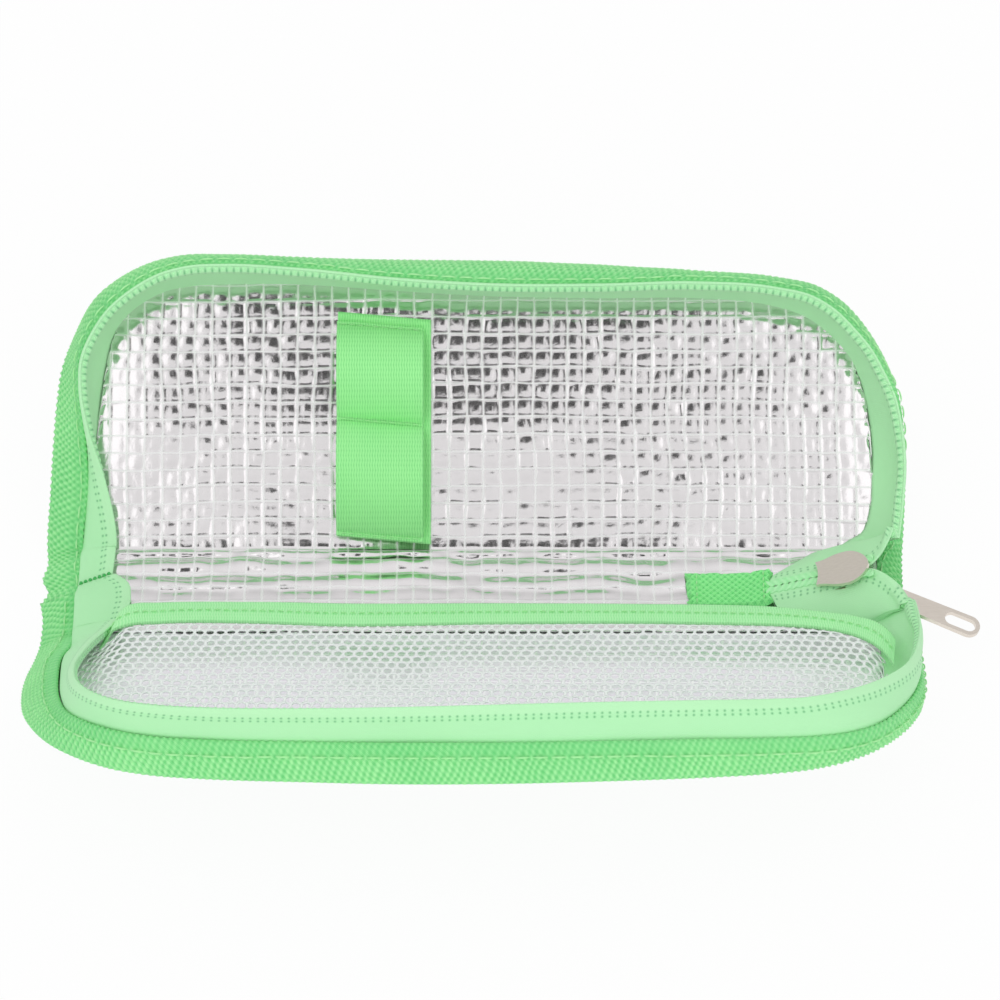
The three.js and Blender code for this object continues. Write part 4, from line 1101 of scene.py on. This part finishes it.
def quilt(a, b, x, v):
    """Pillow, ridge and height of the quilting. A pillow is flat with steep edges: one minus a power of
    the way from its middle, along times across. Each is tilted by its own random slope and a little
    crumpled by noise. A ridge is a Gauss curve over each thread, and slow noise lifts whole regions."""
    part_a, part_b = a - np.floor(a), b - np.floor(b)
    near_a = np.minimum(part_a, 1 - part_a) * CELL_ALONG
    near_b = np.minimum(part_b, 1 - part_b) * CELL_ACROSS
    ridge = np.maximum(np.exp(-(near_a / RIDGE_ALONG) ** 2), 0.95 * np.exp(-(near_b / RIDGE_ACROSS) ** 2))
    pillow = (1 - np.abs(2 * part_a - 1) ** PILLOW_EDGE) * (1 - np.abs(2 * part_b - 1) ** PILLOW_EDGE)
    cell_a, cell_b = np.floor(a).astype(int), np.floor(b).astype(int)
    tilt = np.random.default_rng(11).normal(0, 1, (256, 256, 2))[cell_a % 256, cell_b % 256]
    upper = smooth(v, 26.0, 36.0)
    pillow *= 0.75 + 0.25 * upper
    height = (PILLOW_RISE * pillow + RIDGE_RISE * ridge * (0.4 + 1.2 * value_noise(x, v, 6.0, 6))
              + PILLOW_TILT * pillow * (tilt[..., 0] * (part_a - 0.5) + tilt[..., 1] * (part_b - 0.5))
              + 0.09 * wander(x, v, 2.6, 5) * pillow
              + 0.14 * wander(x * 0.6, v, 1.5, 7) * pillow * (1 - upper)
              + 0.5 * wander(x, v, 15.0, 8))
    return pillow, ridge, height


def spine_wrinkles(x, v):
    """Height of the loose folds on the spine: a sine across it that wanders and swells by noise, and a
    finer noise."""
    on_spine = smooth(v, -14.5, -11.0) * (1 - smooth(v, -2.0, 1.5))
    wave = np.sin(2 * np.pi * (v + 2.2 * value_noise(x, v, 14.0, 9)) / WRINKLE_PITCH)
    swell = 0.5 * wave * value_noise(x, v * 0.4, 7.0, 10)
    return on_spine * (swell + 0.5 * value_noise(x, v, 3.4, 13) - 0.3)


def lining(name, wall, x_range, v_range, side, material, body, nodes, shares):
    """The quilting laid on the panel: threads wander by noise, the film sags near the crease, dips a
    little at the walls and wrinkles on the spine. It is cut off just past the tape's foot."""
    a = cell_samples(*x_range, LINE_X, CELL_ALONG, shares)
    b = cell_samples(*v_range, LINE_V, CELL_ACROSS, shares)
    a, b = np.meshgrid(a, b, indexing="ij")
    x = LINE_X + CELL_ALONG * a
    v = LINE_V + CELL_ACROSS * b
    x = x + 0.9 * wander(x, v, 17.0, 1) + 0.35 * wander(x, v, 4.3, 2)
    v = v + 0.9 * wander(x, v, 19.0, 3) + 0.35 * wander(x, v, 4.6, 4)
    pillow, ridge, height = quilt(a, b, x, v)
    height -= SAG * (1 - smooth(v, 6.0, 34.0)) * smooth(v, -1.0, 3.0)
    height += spine_wrinkles(x, v)
    far = rail_reach(wall, TAPE_FOOT, x) + PAST_FOOT
    rim = np.minimum(far - v, np.minimum(x - x_range[0], x_range[1] - x))
    height -= RIM_DIP * (1 - smooth(rim, -1.0, RIM_WIDTH)) * smooth(v, 1.0, 6.0)
    outside = (v > far) | (x < x_range[0]) | (x > x_range[1]) | (v < v_range[0])
    x, v = np.clip(x, *x_range), np.clip(np.minimum(v, far), v_range[0], None)
    points = fold(np.stack([x, v, TRAY_FLOOR - FILM_UNDER_TRAY + height], -1), side)
    faces = grid_faces(*points.shape[:2], flip=side < 0)
    faces = faces[~outside.ravel()[faces].all(1)]
    used, faces = np.unique(faces, return_inverse=True)
    cloth = np.stack([x, v, pillow], -1).reshape(-1, 3)[used]
    piece = add_mesh(name, points.reshape(-1, 3)[used], faces.reshape(-1, 4).tolist(), material, cloth,
                     ridge.ravel()[used])
    thicken(piece, FILM_THICK)
    finish(piece, body, nodes)


def thicken(piece, thickness):
    """Gives a sheet its thickness behind the face that shows."""
    solid = piece.modifiers.new("thickness", "SOLIDIFY")
    solid.thickness = thickness * MM
    solid.offset = -1
    solid.use_quality_normals = True


lining("back_lining_film", BACK_WALL, (-90.6, 95.4), (-24.4, 67.5), 1, FOIL, BACK,
       ("back_foil", "spine_foil"), CELL_SHARES)
lining("front_lining_film", FRONT_WALL, (-91.4, 95.0), (-2.3, 67.0), -1, NET_FOIL, FRONT,
       ("front_foil",), COARSE_SHARES)

# %% [markdown]
# Below the film lie soft foam and the outer cloth. Both are plain panels: a fan of lines runs from the
# middle of the spine to the rail that the wall stands on, and is given an upper and a lower face.

# %% Foam and outer cloth
PANEL_STEP = 2.4
PANEL_POINTS = 44
CLOTH_PANEL = (1.5, 0.0, 0.8)
FOAM_PANEL = (8.5, 1.1, 2.7)


def panel(name, wall, shape, side, material, body, nodes):
    """A closed panel between two heights in mm: lines from evenly spaced places on the spine's middle to
    the foot rail, drawn in by an inset."""
    inset, low, high = shape
    rails, _ = spline(wall, PANEL_STEP, 0)
    edge = rails[:, 0]
    edge = edge - outward(edge) * inset
    share = np.linspace(0, 1, len(edge))
    start = np.stack([edge[0, 0] + (edge[-1, 0] - edge[0, 0]) * share, np.full(len(edge), -HALF_SPINE)], -1)
    t = np.linspace(0, 1, PANEL_POINTS)[:, None]
    flat = start[:, None] * (1 - t) + edge[:, None, :2] * t
    top = np.concatenate([flat, np.full((*flat.shape[:2], 1), high)], -1)
    under = np.concatenate([flat[:, ::-1], np.full((*flat.shape[:2], 1), low)], -1)
    section = np.concatenate([top, under], 1)
    relief = 0.4 + 0.15 * value_noise(section[..., 0], section[..., 1], 22.0, 12)
    piece = tube(name, fold(section, side), material, section, relief, flip=side < 0)
    return finish(piece, body, nodes)


def closed_rows(left, wall, right):
    """Webbing rows with the walls between the rows of both hinges."""
    return left + [row[:2] for row in wall] + right


back_all = closed_rows(BACK_WEBBING_LEFT, BACK_WALL, BACK_WEBBING_RIGHT)
front_all = closed_rows(FRONT_WEBBING_LEFT, FRONT_WALL, FRONT_WEBBING_RIGHT)
back_cloth = panel("back_cover_cloth", back_all, CLOTH_PANEL, 1, COVER, BACK,
                   ("back_cover", "spine_cover"))
front_cloth = panel("front_cover_cloth", front_all, CLOTH_PANEL, -1, COVER, FRONT,
                    ("front_cover",))
back_pad = panel("back_foam_pad", back_all, FOAM_PANEL, 1, FOAM, BACK, ("back_foam", "spine_foam"))
front_pad = panel("front_foam_pad", front_all, FOAM_PANEL, -1, FOAM, FRONT, ("front_foam",))

# %% [markdown]
# The pocket is a knitted net with an elastic hem. The knit is a field of hexagon cells. Each cell is a
# ring from its hexagon to a round hole, with the strand's middle raised, so strands look round. The
# net hangs between the hem, which stands high, and its seam low on the wall.

# %% Mesh pocket
NET_PITCH = 2.4
NET_STRETCH = 1.2
NET_HOLE = 0.96
NET_RISE = 0.12
NET_THICK = 0.22
NET_LEAN = 0.07
SEAM_HEIGHT = 6.4
# Upper and lower edge of the hem in mm. Its left end turns down under the zip tape.
HEM_UPPER = [
    (-85.0, 8.2, 7.0), (-83.4, 6.6, 9.2), (-81.6, 4.8, 12.2), (-80.2, 4.0, 13.1), (-72.4, 2.4, 13.4),
    (-51.5, 2.0, 13.5), (-33, 3.2, 13.5), (6.6, 3.2, 13.5), (39, 3.6, 13.5), (58.6, 4.2, 13.5),
    (70.4, 5.0, 13.4), (77.1, 6.2, 13.3), (83.0, 7.4, 13.1), (89.0, 8.6, 12.7), (93.5, 10.0, 12.0),
    (96.2, 12.4, 11.0), (97.8, 15.4, 10.0),
]
HEM_LOWER = [
    (-86.0, 13.6, 6.6), (-84.4, 12.8, 8.4), (-82.4, 12.0, 11.2), (-80, 12.2, 12.2), (-72, 11.7, 12.8),
    (-51.2, 11.7, 12.9), (-32.8, 13.2, 12.9), (6.6, 12.4, 13.0), (38.9, 12.1, 13.0), (58.3, 12.6, 12.9),
    (70.6, 13.0, 12.8), (77.6, 13.6, 12.6), (83.6, 14.8, 12.3), (88.8, 17.2, 11.9), (92.4, 20.2, 11.3),
    (95.0, 24.0, 10.4), (96.6, 28.0, 9.4),
]
TURNED_DOWN = 2
NET_LEFT_V = (9.0, 15.5, 26.0, 40.0, 50.0, 62.0)
NET_LEFT_X = (-86.5, -88.5, -91.0, -91.6, -87.6, -77.0)
NET_RIGHT = 96.5
NET_CORNERS = 12


def press_flat(piece):
    """Gives the piece a mesh of its own."""
    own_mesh(piece)


def hem_line_at(x):
    """Place across and height of the hem's lower edge at x, held level past its turned-down end."""
    rows = np.array(HEM_LOWER[TURNED_DOWN:])
    return np.interp(x, rows[:, 0], rows[:, 1]), np.interp(x, rows[:, 0], rows[:, 2])


def pocket_height(x, v):
    """Height of the pocket over the cloth: falls evenly from the hem to the seam, with a slack bulge,
    sinks to the panel at both ends, and passes just under the hem."""
    hem, top = hem_line_at(x)
    far = rail_reach(FRONT_WALL, TAPE_FOOT, x)
    share = np.clip((v - hem) / np.maximum(far - hem, 1), 0, 1)
    slack = 0.8 * np.sin(np.pi * share) + 0.7 * wander(x, v, 16.0, 14) * np.sin(np.pi * share)
    left = np.interp(v, NET_LEFT_V, NET_LEFT_X)
    sink = 4.5 * (1 - smooth(x, left, left + 9.0)) + 3.0 * smooth(x, 90.0, 96.5)
    under_hem = 0.45 * (1 - smooth(v, hem, hem + 1.6))
    return top + (SEAM_HEIGHT - top) * share + slack - sink - under_hem


def net():
    """Hexagon cells on staggered rows. Every cell has twelve points on its hexagon and twelve on its
    hole, and the hexagon's are raised. Neighbours share their hexagon points, which are merged. Clear
    yarn casts next to no shadow, so the net casts none on the film."""
    row_gap = NET_PITCH * NET_STRETCH * np.sqrt(3) / 2
    i, j = np.meshgrid(np.arange(-44, 44), np.arange(0, 30), indexing="ij")
    x = (i + 0.5 * (j % 2)) * NET_PITCH
    v = 4.0 + j * row_gap
    lean = NET_LEAN * v
    hem, _ = hem_line_at(x + lean)
    left = np.interp(v, NET_LEFT_V, NET_LEFT_X)
    x = x + lean
    far = rail_reach(FRONT_WALL, TAPE_FOOT, x)
    keep = (v > hem - 1.2) & (v < far - 0.2) & (x > left) & (x < NET_RIGHT)
    x, v = x[keep], v[keep]
    k = np.arange(NET_CORNERS)
    turn = k * 2 * np.pi / NET_CORNERS
    reach = np.where(k % 2 == 1, 1 / np.sqrt(3), 0.5) * NET_PITCH
    hexagon = np.stack([np.cos(turn) * reach, np.sin(turn) * reach * NET_STRETCH], -1)
    hole = np.stack([np.cos(turn), np.sin(turn) * NET_STRETCH], -1) * NET_HOLE
    cell = np.concatenate([hexagon, hole])
    px, pv = x[:, None] + cell[:, 0], v[:, None] + cell[:, 1]
    px = px + 0.5 * wander(px, pv, 6.0, 15) + 0.3 * wander(px, pv, 2.4, 16)
    pv = pv + 0.5 * wander(px, pv, 6.5, 17) + 0.3 * wander(px, pv, 2.2, 18)
    lift = np.repeat([NET_RISE, 0.0], NET_CORNERS)
    points = fold(np.stack([px, pv, pocket_height(px, pv) + lift], -1), -1)
    after = (k + 1) % NET_CORNERS
    ring_faces = np.stack([k, after, after + NET_CORNERS, k + NET_CORNERS], -1)
    faces = (ring_faces[None] + (np.arange(len(x)) * len(cell))[:, None, None]).reshape(-1, 4)
    flat_place = np.round(np.stack([px, pv], -1).reshape(-1, 2), 3)
    _, index, inverse = np.unique(flat_place, axis=0, return_index=True, return_inverse=True)
    piece = add_mesh("pocket_net", points.reshape(-1, 3)[index], inverse.ravel()[faces].tolist(), NET)
    thicken(piece, NET_THICK)
    piece.visible_shadow = False
    piece.visible_diffuse = False
    print("net cells:", len(x))
    return piece


pocket_net = net()
press_flat(pocket_net)
finish(pocket_net, "front_half", ("mesh_pocket",))


HEM_STEP = 0.16
HEM_POINTS = 15


def hem_strip():
    """A closed band between two rails with a low crown. Its ribs are a cosine along the band, and they
    scallop its lower edge. Gives the band and the line that its stitches follow."""
    rails, length = spline(list(zip(HEM_UPPER, HEM_LOWER)), HEM_STEP, 0)
    upper, lower = rails[:, 0], rails[:, 1]
    share = np.linspace(0, 1, HEM_POINTS)
    flat = upper[:, None] * (1 - share)[:, None] + lower[:, None] * share[:, None]
    rib = wave(length, RIB_PITCH)
    crown = 0.25 * np.sin(np.pi * share) ** 0.5
    top, under = flat.copy(), flat[:, ::-1].copy()
    top[..., 2] += 0.45 + crown + 0.1 * rib[:, None]
    under[..., 2] -= 0.25
    section = np.concatenate([top, under], 1)
    section[:, HEM_POINTS - 2:HEM_POINTS + 2, 1] += (0.2 * rib)[:, None]
    across = np.concatenate([share * 8, share[::-1] * 8 + 9])
    relief = np.broadcast_to(0.35 + 0.6 * rib[:, None], section.shape[:2])
    cloth = cloth_place(length[:, None], across)
    piece = tube("pocket_hem_band", fold(section, -1), HEM_CLOTH, cloth, relief)
    return piece, top[:, HEM_POINTS // 2 + 1]


hem, hem_line = hem_strip()
press_flat(hem)
finish(hem, "front_half", ("pocket_hem",))
hem_seam = dashes("hem_stitches", hem_line + UP * 0.18, UP, -1, 2.2, 1.5, 0.2, THREAD,
                  "front_half")
press_flat(hem_seam)

# %% [markdown]
# Two pens are held by one elastic band, sewn down at both ends and in the middle over a second layer.
# The band arches over each pen. Its ribs run along it, so they are relief across the band's width.

# %% Pen band
BAND_FROM, BAND_TO = -31.9, -11.3
BASE_FROM, BASE_TO = -31.7, -9.6
BAND_START = 4.8
ARCHES = ((6.2, 25.9), (33.5, 21.7))
BAND_END = 56.3
ARCH_RISE = 6.4
BAND_LEAN = -0.085
BASE_LEAN = -0.09
BASE_PAST = 2.4
BASE_HEIGHT = 4.85
LOOP_HEIGHT = 5.6
SEAM_LIFT = 6.62
BAND_STEP = 0.15
SEAM_ROWS = (5.4, 32.8, 55.6)


def band(name, x_from, x_to, path, height, thickness, lean, nodes):
    """A closed band whose profile is a path across the case and its height, carried along x. Its ribs are
    a cosine of x, its edges are thinned by a root, and lean shifts it across as x grows."""
    x = np.linspace(x_from, x_to, round((x_to - x_from) / BAND_STEP))
    edge = np.minimum(x - x_from, x_to - x)
    round_edge = np.sqrt(np.clip(edge / 0.5, 0.08, 1))
    rib = wave(x, RIB_PITCH)
    slope = np.gradient(height, path)
    tilt = 1 / np.sqrt(1 + slope * slope)
    lift_v, lift_w = -slope * tilt, tilt
    out = thickness / 2 * round_edge[:, None] + 0.05 * rib[:, None]
    along = path + lean * (x[:, None] - x_from)
    middle = np.stack(np.broadcast_arrays(x[:, None], along, height + thickness / 2), -1)
    offset = np.stack([np.zeros(out.shape) * path, lift_v * out, lift_w * out], -1)
    section = np.concatenate([middle + offset, (middle - offset)[:, ::-1]], 1)
    relief = np.broadcast_to(0.35 + 0.6 * rib[:, None], section.shape[:2])
    piece = tube(name, fold(section, 1), ELASTIC, section, relief, flip=True)
    finish(piece, "back_half", nodes)


def arch_height(path):
    """Height of the arches: over each pen a sine raised to a power under 1, which makes it rounder."""
    height = np.zeros(len(path))
    for start, length in ARCHES:
        share = np.clip((path - start) / length, 0, 1)
        height += np.where((share > 0) & (share < 1), np.sin(np.pi * share) ** 0.7, 0)
    return ARCH_RISE * height


base_path = np.linspace(BAND_START, BAND_END + BASE_PAST, 60)
base_height = np.full(len(base_path), BASE_HEIGHT)
loop_path = np.linspace(BAND_START, BAND_END, 150)
loop_height = LOOP_HEIGHT + arch_height(loop_path)
band("pen_band_layer", BASE_FROM, BASE_TO, base_path, base_height, 0.6, BASE_LEAN, ("pen_band_base",))
band("pen_band_arches", BAND_FROM, BAND_TO, loop_path, loop_height, 0.9, BAND_LEAN, ("pen_band_loops",))
for row, v in enumerate(SEAM_ROWS):
    x = np.linspace(BAND_FROM + 0.8, BAND_TO - 0.8, 40)
    seam = np.stack([x, v + BAND_LEAN * (x - BAND_FROM), np.full(len(x), SEAM_LIFT)], -1)
    dashes(f"pen_band_stitches_{row}", seam, UP, 1, 1.9, 1.4, 0.13, THREAD, "back_half", first=0.2)

# %% [markdown]
# A short tab of webbing is sewn over the end of the zip. Its plain weave is coarse enough to count, so
# every crossing is a bead of real relief, and its cut ends are frayed.

# %% Zip end tab
TAB_SHIFT = (1.8, 1.9)
TAB_UNDER = 4.6
TAB_RISE = 1.7
TAB_WEAVE = (1.7, 1.6)
TAB_POINTS = (170, 76)
TAB_FRAY = 1.5
TAB_SIDE = 0.9


def tab_lift(share):
    """How far the tab rises over the zip's tail, at a share of its length."""
    return TAB_RISE * smooth(share, 0.6, 1.0)


def tab():
    """A closed slab with a plain weave on top: the root of the product of two cosines. Its cut ends and
    sides wander by noise. Gives its limits in mm."""
    low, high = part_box("zip_end_tab")
    x0, x1 = low.x / MM + TAB_SHIFT[0], high.x / MM + TAB_SHIFT[1]
    y0, y1 = low.y / MM, high.y / MM
    a, b = np.meshgrid(np.linspace(0, 1, TAB_POINTS[0]), np.linspace(0, 1, TAB_POINTS[1]), indexing="ij")
    y = y0 + (y1 - y0) * b
    ragged = TAB_FRAY * wander(y, 0 * y, 0.9, 21)
    x = x0 + (x1 - x0) * a + ragged * (np.abs(a - 0.5) * 2) ** 6
    y = y + TAB_SIDE * wander(x, 0 * x, 1.6, 22) * (np.abs(b - 0.5) * 2) ** 6
    weave = 0.5 + 0.5 * np.cos(2 * np.pi * x / TAB_WEAVE[0]) * np.cos(2 * np.pi * y / TAB_WEAVE[1])
    edge = smooth(np.minimum(np.minimum(a, 1 - a) * 20, np.minimum(b, 1 - b) * 10), 0.0, 0.9)
    rise = tab_lift(a)
    relief = np.sqrt(weave)
    w = TAB_UNDER + 0.1 + rise + edge * (0.9 + 0.5 * relief) + 0.3 * wander(x, y, 4.0, 23)
    top = np.stack([x, y - HALF_SPINE, w], -1)
    under = top[:, ::-1].copy()
    under[..., 2] = TAB_UNDER + rise[:, ::-1]
    section = np.concatenate([top, under], 1)
    relief = np.concatenate([relief, np.full(relief.shape, 0.5)], 1)
    piece = tube("zip_end_webbing", fold(section, 1), TAB, section, relief)
    finish(piece, "spine", ("zip_end_tab",))
    return x0, x1, y0, y1


tab_box = tab()
for row, x in enumerate((tab_box[0] + 2.0, tab_box[1] - 2.2)):
    y = np.linspace(tab_box[2] + 0.6, tab_box[3] - 0.6, 30)
    lift = TAB_UNDER + 1.75 + tab_lift((x - tab_box[0]) / (tab_box[1] - tab_box[0]))
    seam = np.stack(np.broadcast_arrays(x, y, lift), -1)
    dashes(f"zip_end_stitches_{row}", seam, UP, 0, 1.7, 1.25, 0.16, THREAD, "spine", first=0.1)

# %% [markdown]
# Past the tab the zip is closed: its two coils mesh and their stitches show as two braided rows. Each
# row is a flattened cord whose radius is twisted by a cosine, up to the slider's back edge.

# %% Closed tail of the zip
TAIL_ORIGIN = np.array([69.0, -0.2, 6.4])
TAIL_TILT = np.radians(20)
TAIL_LENGTH = 26.5
TAIL_STEP = 0.12
TAIL_SIDES = 18
ROW_OFFSET = 1.02


def tail_place(along, across, up):
    """World place in mm of a place on the zip's tail, which rises to the slider."""
    x = TAIL_ORIGIN[0] + along * np.cos(TAIL_TILT) - up * np.sin(TAIL_TILT)
    z = TAIL_ORIGIN[2] + along * np.sin(TAIL_TILT) + up * np.cos(TAIL_TILT)
    return np.stack(np.broadcast_arrays(x, TAIL_ORIGIN[1] + across, z), -1)


def tail_row(name, across, twist, node):
    """A cord with an oval section whose radius waves by a cosine that turns as it goes along, as a
    rope's does. The rows part towards the slider."""
    along = np.arange(0.2, TAIL_LENGTH, TAIL_STEP)[:, None]
    turn = np.arange(TAIL_SIDES) * 2 * np.pi / TAIL_SIDES
    twirl = np.cos(2 * turn - twist * 2 * np.pi * along / COIL_PITCH)
    fan = smooth(along, 19.0, TAIL_LENGTH) * 1.2 * np.sign(across)
    y = across + fan + (0.95 + 0.14 * twirl) * np.cos(turn)
    z = 0.62 + (0.36 + 0.09 * twirl) * np.sin(turn)
    points = tail_place(along, y, z)
    piece = tube(name, points * MM, COIL, cloth_place(along, turn), 0.5 + 0.5 * twirl)
    finish(piece, "spine", (node,))


tail_row("back_tail_braid", ROW_OFFSET, 1, "back_tail_coil")
tail_row("front_tail_braid", -ROW_OFFSET, -1, "front_tail_coil")

# %% [markdown]
# At the other end both tapes are pinched together and tacked with thick dark thread.

# %% Start of the zip
TACK_FROM = np.array([-92.2, 1.7, 5.7])
TACK_TO = np.array([-84.4, 4.3, 6.6])
tack_line = np.linspace(TACK_FROM, TACK_TO, 40)
tack = dashes("zip_start_stitches", tack_line, UP, 0, 1.15, 1.05, 0.42, DARK_THREAD, "spine",
              first=0.1)
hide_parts("zip_start_tack")

# %% [markdown]
# The slider and its puller are cast and plated metal with the CAD's own shapes.

# %% Slider
for name in ("slider_body", "slider_puller"):
    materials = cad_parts[name].data.materials
    for i in range(len(materials)):
        materials[i] = NICKEL

# %% [markdown]
# Last, the box of the finished model is kept beside that of the solids.

# %% Finish
size = {"cad": cad_box, "visual": [list(corner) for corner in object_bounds()]}
